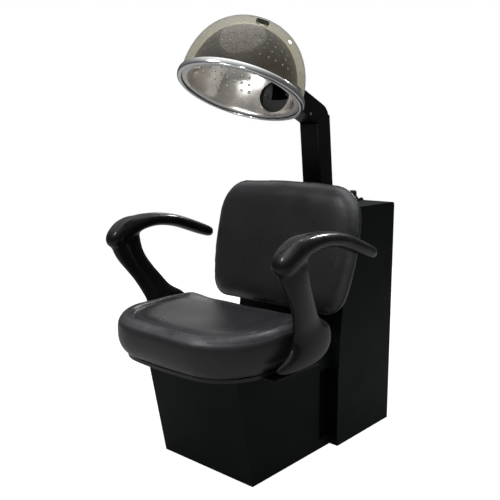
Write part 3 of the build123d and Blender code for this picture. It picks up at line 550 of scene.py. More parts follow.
def make_floor():
    ground = Finish("Studio Floor", (0.3, 0.3, 0.3), 0.7)
    ground.shader.inputs["Emission Color"].default_value = (1, 1, 1, 1)
    seen, glossy = ray_kinds(ground.tree)
    bright = mathematics(ground.tree, "MULTIPLY", seen, FLOOR_SEEN)
    mirrored = mathematics(ground.tree, "MULTIPLY", glossy, FLOOR_MIRRORED)
    glow = mathematics(ground.tree, "ADD", bright, mirrored)
    ground.tree.links.new(glow, ground.shader.inputs["Emission Strength"])
    ground.colours(ground.noise(2.0, 2), (0.295, 0.295, 0.294), (0.31, 0.31, 0.309))
    ground.shader.inputs["Specular IOR Level"].default_value = 0.1
    return ground.material


CHROME = (0.86, 0.865, 0.86)
RUBBER = (0.016, 0.016, 0.016)
MOULDING = (0.018, 0.018, 0.019)
ZINC = (0.55, 0.55, 0.53)
GALVANISED = (0.56, 0.57, 0.58)
ENAMEL = (0.09, 0.1, 0.11)
MICA = (0.5, 0.42, 0.3)
FOAM = (0.07, 0.07, 0.07)
FINISHES = {}


def finish(name):
    """Material by its slot name, made on first use from the colour settings."""
    if name not in FINISHES:
        tint = bpy.context.scene.dryer_colours
        makers = {
            "black_vinyl": lambda: make_vinyl(tuple(tint.vinyl)),
            "black_urethane": lambda: make_urethane(tuple(tint.urethane)),
            "black_laminate": lambda: make_laminate(tuple(tint.laminate)),
            "black_steel": lambda: make_powder_coat(tuple(tint.powder_coat)),
            "smoked_acrylic": lambda: make_acrylic(tuple(tint.acrylic)),
            "polished_liner": lambda: make_metal("Polished Liner", tuple(tint.liner), 0.24, 0.36, 40.0),
            "liner_outside_painted_shade": lambda: make_liner_painted_shade(tuple(tint.liner_outside_shade)),
            "chrome_trim": lambda: make_metal("Bright Chrome", CHROME, 0.13, 0.24, 30.0),
            "black_rubber": lambda: make_rubber(RUBBER),
            "black_plastic": lambda: make_moulding("Black Moulding", MOULDING, 0.36, 0.5),
            "zinc_steel": lambda: make_metal("Zinc Plate", ZINC, 0.28, 0.42, 200.0, 0.1),
            "galvanised_sheet": lambda: make_galvanised(GALVANISED),
            "motor_casting": lambda: make_moulding("Motor Enamel", ENAMEL, 0.4, 0.55),
            "mica_board": lambda: make_mica(MICA),
            "filter_foam": lambda: make_foam(FOAM),
            "faced_plywood": lambda: make_vinyl(tuple(tint.vinyl)),
            "white_mark": make_white_mark,
        }
        FINISHES[name] = makers[name]()
    return FINISHES[name]


def coat(piece, *slots):
    """Give a piece these finishes in place of any that it has."""
    piece.data.materials.clear()
    for slot in slots:
        piece.data.materials.append(finish(slot))


def dress(piece, slot, body, *replaced):
    """Give a piece its finish, its body and the node that it stands for."""
    if not piece.data.materials:
        coat(piece, slot)
    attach(piece, body)
    if replaced:
        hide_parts(*replaced)


# ---- settings
def length(label, default, note):
    """Length property in metres."""
    return bpy.props.FloatProperty(name=label, default=default, description=note, unit="LENGTH")


def tint(label, default, note):
    """Colour property."""
    return bpy.props.FloatVectorProperty(
        name=label, default=default, description=note, subtype="COLOR", min=0.0, max=1.0
    )


class DryerColours(bpy.types.PropertyGroup):
    """Colours of the main finishes."""

    vinyl: tint("Upholstery", (0.022, 0.022, 0.024), "Seat and back cover")
    urethane: tint("Arms", (0.006, 0.006, 0.0065), "Moulded skin of the arms")
    laminate: tint("Cabinet", (0.006, 0.009, 0.0075), "Laminate of the cabinet and base")
    powder_coat: tint("Steelwork", (0.004, 0.004, 0.0045), "Post, elbow and brackets")
    acrylic: tint("Dome", (0.585, 0.565, 0.485), "Smoke tint of the outer dome")
    liner: tint("Liner", (0.84, 0.81, 0.77), "Polished inside of the liner")
    # Painted shade: a dark colour that stands in for the dark reflections on the liner's outside.
    liner_outside_shade: tint("Liner Outside", (0.036, 0.025, 0.02), "Lacquer on the liner's outside")


class HoodSizes(bpy.types.PropertyGroup):
    """Sizes of the dome, liner and rim."""

    centre_y: length("Centre Y", -0.382, "Middle of the hood's rim, front to back")
    centre_z: length("Centre Z", 1.121, "Height of the middle of the hood's rim")
    tilt: bpy.props.FloatProperty(
        name="Tilt",
        default=math.radians(23.2),
        description="How far the rear of the rim hangs below its front",
        subtype="ANGLE",
    )
    shell_radius: length("Dome Radius", 0.185, "Outside of the clear dome")
    shell_height: length("Dome Height", 0.218, "Crown above the rim plane")
    shell_wall: length("Dome Wall", 0.003, "Thickness of the clear dome")
    shell_foot: length("Dome Foot", 0.005, "Height of the dome's lower edge")
    liner_radius: length("Liner Radius", 0.163, "Outside of the liner")
    liner_height: length("Liner Height", 0.195, "Crown of the liner")
    liner_wall: length("Liner Wall", 0.0015, "Thickness of the liner")
    hole_radius: length("Air Hole Radius", 0.0031, "Holes that spread the air")
    inlet_width: length("Inlet Width", 0.118, "Air inlet across")
    inlet_height: length("Inlet Height", 0.096, "Air inlet up and down")
    inlet_centre: length("Inlet Centre", 0.058, "Air inlet above the rim plane")
    rim_radius: length("Rim Radius", 0.1935, "Outside of the bright rim")


class CushionSizes(bpy.types.PropertyGroup):
    """Sizes of the padded pieces."""

    voxel: length("Remesh Size", 0.006, "Cell size of the padding mesh")
    shrink: length("Start Shrink", 0.009, "How much smaller the padding starts")
    slack: bpy.props.FloatProperty(
        name="Cover Slack", default=0.4, description="Share of the simulated folds that stays"
    )
    seat_swell: length("Seat Swell", 0.014, "How far the seat may swell")
    back_swell: length("Back Swell", 0.012, "How far the back may swell")
    seat_roll: length("Seat Roll", 0.052, "Width of the rolled rim of the seat")
    seat_crease: length("Seat Crease", 0.011, "Depth of the crease inside the roll")
    seat_dish: length("Seat Dish", 0.024, "Hollow of the seat's middle")
    seat_tuck: length("Seat Tuck", 0.009, "How far the lower edge tucks in")
    back_edge: length("Back Edge", 0.1, "Width of the back's rounded border")
    back_round: length("Back Rounding", 0.014, "How far the border falls away at the edge")
    back_crease: length("Back Seam", 0.0012, "Depth of the seam at the border")
    back_hollow: length("Back Hollow", 0.002, "Hollow of the back's middle")
    recline: bpy.props.FloatProperty(
        name="Recline", default=math.radians(13), description="Lean of the back", subtype="ANGLE"
    )


class ArmSizes(bpy.types.PropertyGroup):
    """Sizes of the arms."""

    voxel: length("Remesh Size", 0.004, "Cell size of the arm mesh")
    rest_middle: length("Armrest Middle", 0.3375, "Middle of the armrest from the centre plane")
    dimple: length("Groove Depth", 0.008, "Groove in the nose of the armrest")
    ridge: length("Ridge Height", 0.0025, "Raised borders of the groove")


SETTINGS = {
    "dryer_colours": DryerColours,
    "dryer_hood": HoodSizes,
    "dryer_cushions": CushionSizes,
    "dryer_arms": ArmSizes,
}


# ---- hood
DOME_POWER = 2.3  # superellipse power of the clear dome
LINER_POWER = 2.2
CURVE_STEPS = 34
VENT_WIDTH = 0.038
VENT_HEIGHT = 0.013
VENT_TURN = math.radians(42)
VENT_PLACE = (0.138, 0.103)  # from the axis and above the rim plane
ELBOW_MARGIN = 0.0147  # the opening is this much narrower on each side than the elbow
PUNCH_MOUTH = 2.1  # widths of the flared punch as shares of the hole, and depth in walls
PUNCH_TIP = 0.3
PUNCH_DEPTH = 3
# rings of air holes: how far up the curve, and count; every second ring is shifted by half a pitch
HOLE_RINGS = (
    (0.30, 40), (0.42, 38), (0.54, 36), (0.66, 34), (0.78, 30), (0.88, 28),
    (0.98, 25), (1.08, 21), (1.18, 17), (1.28, 13), (1.38, 8), (1.48, 4),
)


def dome_curve(radius, height, power, low):
    """Half outline of a dome from its lower edge to its crown."""
    curve = [(radius, low)]
    for i in range(1, CURVE_STEPS + 1):
        turn = math.pi / 2 * i / CURVE_STEPS
        out = radius * abs(math.cos(turn)) ** (2 / power)
        up = height * math.sin(turn) ** (2 / power)
        if up > low + 0.004:
            curve.append((0.0 if i == CURVE_STEPS else out, up))
    return curve


def to_hood(piece, sizes):
    """Move a piece from the rim's own axes to its place on the hood."""
    place(piece, (0, sizes.centre_y, sizes.centre_z), (-sizes.tilt, 0, 0))


def slot_cutter(width, height, reach, location, turn):
    """Upright-ended slot cutter, drawn through along its own Z."""
    cutter = primitive("circle", "cutter", vertices=40, radius=height / 2, fill_type="NGON")
    for vertex in cutter.data.vertices:
        if abs(vertex.co.x) > MERGE_GAP / 10:
            vertex.co.x += math.copysign((width - height) / 2, vertex.co.x)
    bpy.ops.object.mode_set(mode="EDIT")
    bpy.ops.mesh.select_all(action="SELECT")
    bpy.ops.mesh.extrude_region_move(TRANSFORM_OT_translate={"value": (0, 0, reach)})
    bpy.ops.object.mode_set(mode="OBJECT")
    tidy_shell(cutter)
    place(cutter, location, turn)
    return cutter


class DRYER_OT_dome(bpy.types.Operator):
    """Clear outer dome with its vent slot and the opening for the elbow"""

    bl_idname = "dryer.dome"
    bl_label = "Outer Dome"

    def execute(self, context):
        s = context.scene.dryer_hood
        wall = s.shell_wall
        outer = dome_curve(s.shell_radius, s.shell_height, DOME_POWER, s.shell_foot)
        inner = dome_curve(s.shell_radius - wall, s.shell_height - wall, DOME_POWER, s.shell_foot)
        dome = turned("dome_shell", outer + inner[::-1], 120)
        vent = slot_cutter(VENT_WIDTH, VENT_HEIGHT, 0.09, (0, 0, -0.045), (0, 0, math.pi / 2))
        away, above = VENT_PLACE
        out = Vector((away * math.cos(VENT_TURN), -away * math.sin(VENT_TURN), above))
        place(vent, out + Vector((0, 0, 0.06)), out.to_track_quat("Z", "Y").to_euler())
        cut_with(dome, vent)
        low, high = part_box("elbow_duct")
        half = (high.x - low.x) / 2 - ELBOW_MARGIN
        cut_with(dome, bar("opening", (2 * half, 0.1, 0.066), (0, 0.185, 0.075), 0.002))
        smooth(dome, 40)
        to_hood(dome, s)
        dress(dome, "smoked_acrylic", "hood", "outer_shell")
        return {"FINISHED"}


def dome_normal(out, up, radius, height, power):
    """Outward direction of a dome at (distance from axis, height)."""
    a = (out / radius) ** (power - 1) / radius
    b = (max(up, 0) / height) ** (power - 1) / height
    size = math.hypot(a, b)
    return a / size, b / size


def air_holes(s):
    """Places of the holes, apart from those beside the inlet: turn, distance from axis, height."""
    holes = []
    for number, (rise, count) in enumerate(HOLE_RINGS):
        shift = 0.5 * (number % 2)
        out = s.liner_radius * math.cos(rise) ** (2 / LINER_POWER)
        up = s.liner_height * math.sin(rise) ** (2 / LINER_POWER)
        for i in range(count):
            turn = math.tau * (i + shift) / count
            beside_inlet = abs(math.cos(turn)) < 0.52 and math.sin(turn) > 0
            if not (beside_inlet and up < s.inlet_centre + s.inlet_height / 2 + 0.012):
                holes.append((turn, out, up))
    return holes


class DRYER_OT_liner(bpy.types.Operator):
    """Polished inner dome with its air holes, its lip and the air inlet"""

    bl_idname = "dryer.liner"
    bl_label = "Inner Liner"

    def execute(self, context):
        s = context.scene.dryer_hood
        radius = s.liner_radius
        curve = dome_curve(radius, s.liner_height, LINER_POWER, 0.004)
        lip = [(s.shell_radius, 0.0), (radius + 0.006, 0.0), (radius + 0.0015, 0.001)]
        liner = turned("dome_liner", lip + curve, 120, closed=False)
        side = next(face for face in liner.data.polygons if face.center.z > 0.02)
        outwards = side.normal.dot(side.center) > 0
        finish_with(liner, "SOLIDIFY", thickness=s.liner_wall, offset=-1.0 if outwards else 1.0)
        mouth, tip = s.hole_radius * PUNCH_MOUTH, s.hole_radius * PUNCH_TIP
        depth = s.liner_wall * PUNCH_DEPTH
        punch = primitive("cone", "punch", vertices=10, radius1=mouth, radius2=tip, depth=depth)
        punches = []
        for turn, out, up in air_holes(s):
            a, b = dome_normal(out, up, radius, s.liner_height, LINER_POWER)
            aim = Vector((a * math.cos(turn), a * math.sin(turn), b))
            one = copy_of(punch, "punch")
            where = Vector((out * math.cos(turn), out * math.sin(turn), up))
            where -= aim * (s.liner_wall / 2)
            place(one, where, aim.to_track_quat("Z", "Y").to_euler())
            punches.append(one)
        bpy.data.objects.remove(punch)
        cut_with(liner, join(punches, "punches"))
        inlet = slot_cutter(s.inlet_width, s.inlet_width, 0.12, (0, 0, 0), (0, 0, 0))
        inlet.scale = (1, s.inlet_height / s.inlet_width, 1)
        place(inlet, (0, 0.2, s.inlet_centre), (math.pi / 2, 0, 0))
        cut_with(liner, inlet)
        coat(liner, "polished_liner", "liner_outside_painted_shade")
        # The outside faces and the flared hole walls take the painted shade finish, which gives a dark
        # ring of shadow round each hole.
        for face in liner.data.polygons:
            away = face.center.normalized()
            lean = face.normal.dot(away)
            above_lip = face.center.z > 0.004
            hole_wall = above_lip and -0.93 < lean < 0.5 and face.area < 2e-5
            face.material_index = 1 if hole_wall or (above_lip and lean > 0) else 0
        smooth(liner, 35)
        to_hood(liner, s)
        dress(liner, "polished_liner", "hood", "inner_liner")
        return {"FINISHED"}


class DRYER_OT_rim(bpy.types.Operator):
    """Bright rim ring that clamps the dome and the liner"""

    bl_idname = "dryer.rim"
    bl_label = "Rim Ring"

    def execute(self, context):
        s = context.scene.dryer_hood
        r = s.rim_radius
        low, high = -0.007, 0.014
        inner = r - 0.0135
        profile = [
            (inner, low + 0.0008),
            (inner + 0.0008, low),
            (r - 0.0052, low),
            (r - 0.003, low + 0.0007),
            (r - 0.0014, low + 0.002),
            (r - 0.0005, low + 0.0042),
            (r, low + 0.0075),
            (r, high - 0.0085),
            (r - 0.0005, high - 0.005),
            (r - 0.0015, high - 0.0025),
            (r - 0.0032, high - 0.0007),
            (r - 0.0052, high),
            (s.shell_radius + 0.0009, high),
            (s.shell_radius + 0.0004, high - 0.0006),
            (s.shell_radius + 0.0004, low + 0.003),
            (inner, low + 0.003),
        ]
        ring = turned("dome_rim", profile, 160)
        smooth(ring, 50)
        to_hood(ring, s)
        dress(ring, "chrome_trim", "hood", "rim_ring")
        return {"FINISHED"}


# ---- upholstery
def outline_of(node, across, along):
    """Convex outline of a node seen in a plane of two directions."""
    co = points_of(NODES[node])
    flat = np.stack([co @ across, co @ along], axis=1)
    ring = geometry.convex_hull_2d([tuple(p) for p in flat])
    return flat[ring]


def inset_from(outline, flat):
    """Distance of points inwards from an outline."""
    best = np.full(len(flat), 1e9)
    for a, b in zip(outline, np.roll(outline, -1, axis=0)):
        side = b - a
        size = side @ side
        if size < 1e-12:
            continue
        t = np.clip(((flat - a) @ side) / size, 0, 1)
        gap = flat - (a + t[:, None] * side)
        best = np.minimum(best, np.hypot(gap[:, 0], gap[:, 1]))
    return best


def hump(value, middle, width):
    """Bell curve of height one."""
    return np.exp(-(((value - middle) / width) ** 2))


def rise(value, low, high):
    """Smooth step from 0 to 1 between two values."""
    t = np.clip((value - low) / (high - low), 0, 1)
    return t * t * (3 - 2 * t)


def bowl(share, tail=1.0):
    """Hollow of depth one in the middle of a pad, from places as shares of its half sizes."""
    return np.clip(1 - share[:, 0] ** 2, 0, 1) * np.clip(1 - share[:, 1] ** 2 * tail, 0, 1)


def evened(piece, values, rounds):
    """Values at the points, averaged with their neighbours a number of times."""
    ends = np.empty(len(piece.data.edges) * 2, dtype=np.int64)
    piece.data.edges.foreach_get("vertices", ends)
    a, b = ends.reshape(-1, 2).T
    n = len(values)
    nearby = np.bincount(a, minlength=n) + np.bincount(b, minlength=n)
    for _ in range(rounds):
        total = np.bincount(a, values[b], n) + np.bincount(b, values[a], n)
        values = (values + total / nearby) / 2
    return values


CLEAR = 0.0002  # gap that a pad keeps from the board or pan behind it
PRESSURE = 4.0
SIM_FRAMES = 20
FILL_OUT = 0.8  # share of the allowed swell that the stuffing reaches evenly
FOLD_EVENING = 30  # rounds that leave the broad folds of the cover and drop the creases


def stuffed(node, name, sizes, swell):
    """Padding that starts from a node's solid, a little smaller, and swells by cloth pressure."""
    pad = copy_of(NODES[node], name)
    pad.data.materials.clear()
    tidy_shell(pad)
    finish_with(pad, "DISPLACE", strength=-sizes.shrink, mid_level=0.0)
    finish_with(pad, "REMESH", mode="VOXEL", voxel_size=sizes.voxel)
    finish_with(pad, "SMOOTH", factor=0.5, iterations=4)
    before = points_of(pad)
    even = normals_of(pad)
    only(pad)
    cloth = pad.modifiers.new("Cloth", "CLOTH")
    cloth.settings.use_pressure = True
    cloth.settings.uniform_pressure_force = PRESSURE
    cloth.settings.effector_weights.gravity = 0
    cloth.point_cache.frame_start = 1
    cloth.point_cache.frame_end = SIM_FRAMES
    for number in range(1, SIM_FRAMES + 1):
        bpy.context.scene.frame_set(number)
    bpy.ops.object.modifier_apply(modifier=cloth.name)
    bpy.context.scene.frame_set(1)
    move = points_of(pad) - before
    size = np.linalg.norm(move, axis=1, keepdims=True)
    move *= np.minimum(1, swell / np.maximum(size, TINY))
    along = np.sum(move * even, axis=1)
    folds = evened(pad, along - np.mean(along), FOLD_EVENING)
    move_points(pad, before + even * (swell * FILL_OUT + folds * sizes.slack)[:, None])
    finish_with(pad, "SMOOTH", factor=0.5, iterations=6)
    finish_with(pad, "SUBSURF", levels=1, render_levels=1)
    return pad


class DRYER_OT_seat(bpy.types.Operator):
    """Seat cushion with a fat rolled rim, a crease inside it and a dished middle"""

    bl_idname = "dryer.seat"
    bl_label = "Seat Cushion"

    def execute(self, context):
        s = context.scene.dryer_cushions
        low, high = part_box("seat_cushion")
        outline = outline_of("seat_cushion", np.array((1, 0, 0)), np.array((0, 1, 0)))
        seat = stuffed("seat_cushion", "seat_pad", s, s.seat_swell)
        co = points_of(seat)
        facing = normals_of(seat)
        inset = inset_from(outline, co[:, :2])
        middle = np.array(((low.x + high.x) / 2, (low.y + high.y) / 2))
        half = np.array(((high.x - low.x) / 2, (high.y - low.y) / 2))
        share = (co[:, :2] - middle) / half
        top = rise(facing[:, 2], 0.15, 0.75)
        forward = 1 - rise(co[:, 1], high.y - 0.13, high.y - 0.03)
        roll = s.seat_roll
        fold = 0.75 * hump(inset, roll, 0.007) + 0.55 * hump(inset, roll + 0.004, 0.02)
        plump = 0.005 * hump(inset, roll * 0.45, 0.02)
        dish = s.seat_dish * bowl(share, 0.8)
        co[:, 2] += top * ((plump - s.seat_crease * fold) * forward - dish)
        side = 1 - rise(np.abs(facing[:, 2]), 0.35, 0.8)
        level = (co[:, 2] - low.z) / (high.z - low.z)
        seam = hump(level, 0.84, 0.018)
        under = (1 - rise(level, 0.05, 0.5)) ** 1.5
        tuck = 0.0012 * seam * side + s.seat_tuck * under * (1 - rise(inset, 0.02, 0.09))
        outward = co[:, :2] - middle
        outward /= np.maximum(np.linalg.norm(outward, axis=1, keepdims=True), TINY)
        co[:, :2] -= outward * tuck[:, None]
        ripple = np.array([noise.noise(Vector(p) * 9.0) for p in co])
        co += facing * (ripple * 0.0022 * (0.4 + 0.6 * top))[:, None]
        co[:, 2] = np.maximum(co[:, 2], low.z + CLEAR)
        move_points(seat, co)
        # Roll top and side seam: wear together with a painted highlight.
        mark_rub_and_sheen(seat, 0.8 * hump(inset, roll * 0.35, 0.016) * top + 0.5 * seam * side)
        smooth(seat, 180)
        dress(seat, "black_vinyl", "root", "seat_cushion")
        return {"FINISHED"}


class DRYER_OT_backrest(bpy.types.Operator):
    """Back cushion with a rounded border, a fine seam near its edge and a hollow middle"""

    bl_idname = "dryer.backrest"
    bl_label = "Back Cushion"

    def execute(self, context):
        s = context.scene.dryer_cushions
        up = np.array((0, math.sin(s.recline), math.cos(s.recline)))
        ahead = np.array((0, -math.cos(s.recline), math.sin(s.recline)))
        across = np.array((1, 0, 0))
        outline = outline_of("back_cushion", across, up)
        rear = (points_of(NODES["back_cushion"]) @ ahead).min()
        back = stuffed("back_cushion", "back_pad", s, s.back_swell)
        co = points_of(back)
        facing = normals_of(back)
        flat = np.stack([co @ across, co @ up], axis=1)
        inset = inset_from(outline, flat)
        centre = (outline.min(0) + outline.max(0)) / 2
        share = (flat - centre) / ((outline.max(0) - outline.min(0)) / 2)
        front = rise(facing @ ahead, 0.0, 0.7)
        crease = s.back_crease * hump(inset, 0.008, 0.0035)
        border = s.back_round * (1 - np.clip(inset / s.back_edge, 0, 1)) ** 3
        co -= ahead * ((crease + border + s.back_hollow * bowl(share)) * front)[:, None]
        ripple = np.array([noise.noise(Vector((p[0] * 11, p[1] * 6, p[2] * 5))) for p in co])
        co += facing * (ripple * 0.002)[:, None]
        co += ahead * np.maximum(rear + CLEAR - co @ ahead, 0)[:, None]
        move_points(back, co)
        # Front border of the back: wear together with a painted highlight.
        mark_rub_and_sheen(back, 0.8 * hump(inset, 0.016, 0.011) * front)
        smooth(back, 180)
        dress(back, "black_vinyl", "root", "back_cushion")
        return {"FINISHED"}


# ---- arms
# side views in millimetres: (upper y, z), (lower y, z), half width
REST_RINGS = [
    ((-166, 656), (-167, 650), 3),
    ((-168, 670), (-174, 636), 19),
    ((-186, 678), (-197, 641), 24),
    ((-230, 695), (-243, 655), 27),
    ((-268, 709), (-282, 669), 29),
    ((-330, 730), (-342, 690), 31),
    ((-390, 742), (-396, 700), 32),
    ((-440, 746), (-440, 703), 32.5),
    ((-490, 746), (-484, 697), 33),
    ((-538, 742), (-518, 685), 33.5),
    ((-577, 730), (-550, 668), 34),
    ((-604, 712), (-580, 651), 33.5),
    ((-619, 694), (-601, 645), 30),
    ((-625, 673), (-614, 650), 21),
    ((-623, 661), (-622, 658), 0.2),
]
# (front y, z), (rear y, z), middle from the centre plane, half thickness
STEM_RINGS = [
    ((-585, 700), (-540, 715), 338, 0.2),
    ((-612, 672), (-505, 703), 338, 26),
    ((-610, 643), (-500, 672), 338, 27),
    ((-593, 609), (-494, 636), 337, 25),
    ((-566, 575), (-478, 604), 333, 22),
    ((-541, 543), (-454, 570), 325, 20.5),
    ((-524, 510), (-427, 537), 315, 19.5),
    ((-512, 482), (-406, 506), 306, 19.5),
    ((-504, 462), (-376, 488), 300, 19.5),
    ((-505, 440), (-341, 473), 300, 20),
    ((-516, 417), (-326, 442), 300, 20),
    ((-545, 398), (-326, 408), 299.5, 19.5),
    ((-582, 386), (-345, 377), 298, 18),
    ((-566, 366), (-396, 358), 294, 14),
    ((-500, 352), (-450, 350), 288, 0.2),
]


REST_POWER = 2.5
STEM_POWER = 2.0
NOSE_Y = -0.555  # middle of the grooved nose, front to back
RIDGE_OFFSET = 0.017  # from the middle of the groove


def arm_ring(x, start, end, half, power):
    """Cross-section of an arm between two points of its side view."""
    a = Vector((x, start[0] * MILLI, start[1] * MILLI))
    b = Vector((x, end[0] * MILLI, end[1] * MILLI))
    return oval((a + b) / 2, Vector((half * MILLI, 0, 0)), (a - b) / 2, power)


class DRYER_OT_arms(bpy.types.Operator):
    """Pair of moulded arms: a curved armrest that flows into a twisting stem and a broad foot"""

    bl_idname = "dryer.arms"
    bl_label = "Arms"

    def execute(self, context):
        s = context.scene.dryer_arms
        rest = lofted("rest", [
            arm_ring(s.rest_middle, over, under, half, REST_POWER)
            for over, under, half in REST_RINGS
        ])
        stem = lofted("stem", [
            arm_ring(middle * MILLI, front, rear, half, STEM_POWER)
            for front, rear, middle, half in STEM_RINGS
        ])
        for part in (rest, stem):
            finish_with(part, "SUBSURF", levels=2, render_levels=2)
        arm = join([rest, stem], "arm_left")
        finish_with(arm, "REMESH", mode="VOXEL", voxel_size=s.voxel)
        finish_with(arm, "SMOOTH", factor=0.5, iterations=26)
        finish_with(arm, "SUBSURF", levels=1, render_levels=1)
        co = points_of(arm)
        facing = normals_of(arm)
        over = rise(facing[:, 2], 0.25, 0.7)
        along = 1 - rise(np.abs(co[:, 1] - NOSE_Y), 0.02, 0.065)
        across = s.rest_middle - 0.004 + 0.12 * np.maximum(co[:, 1] + 0.6, 0)
        x = co[:, 0]
        groove = hump(x, across, 0.0085)
        ridges = hump(x, across - RIDGE_OFFSET, 0.007) + hump(x, across + RIDGE_OFFSET, 0.007)
        co += facing * ((s.ridge * ridges - s.dimple * groove) * along * over)[:, None]
        move_points(arm, co)
        # Ridge crests on the arm tops: painted highlight.
        crest_sheen = hump(x, across - RIDGE_OFFSET, 0.006) + hump(x, across + 0.018, 0.008)
        mark_rub_and_sheen(arm, 0.7 * crest_sheen * over)
        low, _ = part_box("left_arm")
        width, depth, thick = 0.066, 0.2, 0.006
        middle = (low.x + width / 2, -0.46, low.z + thick / 2)
        tongue = bar("tongue", (width, depth, thick), middle, 0.0012)
        coat(tongue, "black_steel")
        coat(arm, "black_urethane")
        smooth(arm, 180)
        smooth(tongue, 30)
        join([arm, tongue], "arm_left")
        mirrored = copy_of(arm, "arm_right")
        mirrored.scale = (-1, 1, 1)
        place(mirrored)
        tidy_shell(mirrored)
        dress(arm, "black_urethane", "root", "left_arm")
        dress(mirrored, "black_urethane", "root", "right_arm")
        return {"FINISHED"}


# ---- controls
FLUTES = 12
FLUTE_DEPTH = 0.075  # as a share of the dial's radius


class DRYER_OT_dials(bpy.types.Operator):
    """Timer and heat dials with flutes, a pointer and a ring of marks on the plate"""

    bl_idname = "dryer.dials"
    bl_label = "Dials"

    def execute(self, context):
        for node, body, name, sweep in (
            ("timer_knob", "timer", "timer_dial", 300),
            ("heat_knob", "heat_selector", "heat_dial", 120),
        ):
            low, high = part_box(node)
            middle = (low + high) / 2
            r = (high.x - low.x) / 2
            tall = high.z - low.z
            profile = [
                (0.0, 0.0),
                (r - 0.0006, 0.0),
                (r, 0.0008),
                (r, 0.0055),
                (r - 0.0009, 0.0072),
                (r - 0.0035, 0.0082),
                (r * 0.8, 0.0105),
                (r * 0.78, 0.0135),
                (r * 0.76, tall * 0.62),
                (r * 0.73, tall * 0.84),
                (r * 0.69, tall * 0.92),
                (r * 0.6, tall * 0.965),
                (r * 0.42, tall * 0.99),
                (0.0, tall),
            ]
            dial = turned(name, profile, 96)
            co = points_of(dial)
            out = np.hypot(co[:, 0], co[:, 1])
            turn = np.arctan2(co[:, 1], co[:, 0])
            grip = rise(co[:, 2], 0.0095, 0.013) * rise(out, r * 0.55, r * 0.68)
            flute = 1 - FLUTE_DEPTH * grip * np.maximum(0, np.cos(FLUTES * turn)) ** 3
            co[:, :2] *= flute[:, None]
            move_points(dial, co)
            coat(dial, "black_plastic")
            smooth(dial, 32)
            stroke = (0.0016, r * 0.66, 0.0008)
            pointer = bar("pointer", stroke, (0, -r * 0.36, tall - 0.0005), 0.0003)
            coat(pointer, "white_mark")
            smooth(pointer, 30)
            join([dial, pointer], name)
            place(dial, (middle.x, middle.y, low.z))
            dress(dial, "black_plastic", body, node)
            marks = []
            count = 11 if sweep > 200 else 4
            for i in range(count):
                turn = -math.radians(sweep) * i / (count - 1)
                large = i % 5 == 0 or count < 6
                size = (0.0012, 0.005 if large else 0.0032, 0.0005)
                mark = bar("mark", size, (0, -r - 0.005, 0), 0.00012)
                place(mark, (0, 0, 0), (0, 0, turn))
                marks.append(mark)
            scale = join(marks, name.replace("dial", "scale"))
            coat(scale, "white_mark")
            place(scale, (middle.x, middle.y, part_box("control_plate")[1].z + 0.0001))
            dress(scale, "black_plastic", "root")
        return {"FINISHED"}


# ---- carried-over
class DRYER_OT_finishes(bpy.types.Operator):
    """Finishes on every part that is carried over from the frame"""

    bl_idname = "dryer.finishes"
    bl_label = "Part Finishes"

    def execute(self, context):
        for row in frame["record"]["subparts"]:
            coat(NODES[row["node"]], row["material_slot"])
        return {"FINISHED"}


# ---- stage
FLOOR_RADIUS = 3.2
FLOOR_PLACE = (0, -0.3, 0)
SKY_GLOW = 1.5  # strength of the surroundings straight above
SKY_BASE = 0.09  # and all round
HOOD_AIM = (0, -0.38, 1.15)
SPOT_CONE = math.radians(19)
CAMERA_PLACE = (1.392, -1.916, 1.0)
CAMERA_TURN = (math.radians(80.42), 0, math.radians(41.45))
# narrow lamps that each reach one piece: name, place, aim, power, radius
SPOTS = (
    ("arm_right_lamp", (0.2, 1.6, 2.25), (0.34, -0.5, 0.68), 95, 0.16),
    ("arm_left_lamp", (-0.5, 1.6, 2.25), (-0.34, -0.5, 0.68), 95, 0.16),
    ("hood_left", (0.851, -1.533, 1.209), HOOD_AIM, 26, 0.035),
    ("hood_right", (0.2, -1.85, 1.0), HOOD_AIM, 34, 0.035),
)


def hang(name, kind, location, target, power):
    """Lamp aimed at a point and kept out of the view."""
    data = bpy.data.lights.new(name, kind)
    data.energy = power
    lamp = bpy.data.objects.new(name, data)
    bpy.context.scene.collection.objects.link(lamp)
    lamp.location = location
    lamp.visible_camera = False
    lamp.rotation_euler = (Vector(target) - Vector(location)).to_track_quat("-Z", "Y").to_euler()
    return lamp


def soft_light(name, location, target, size, power):
    """Round soft light."""
    lamp = hang(name, "AREA", location, target, power)
    lamp.data.shape = "DISK"
    lamp.data.size = size
    return lamp


def background(tree, colour):
    """Background shader of one colour."""
    node = tree.nodes.new("ShaderNodeBackground")
    node.inputs["Color"].default_value = (*colour, 1)
    return node


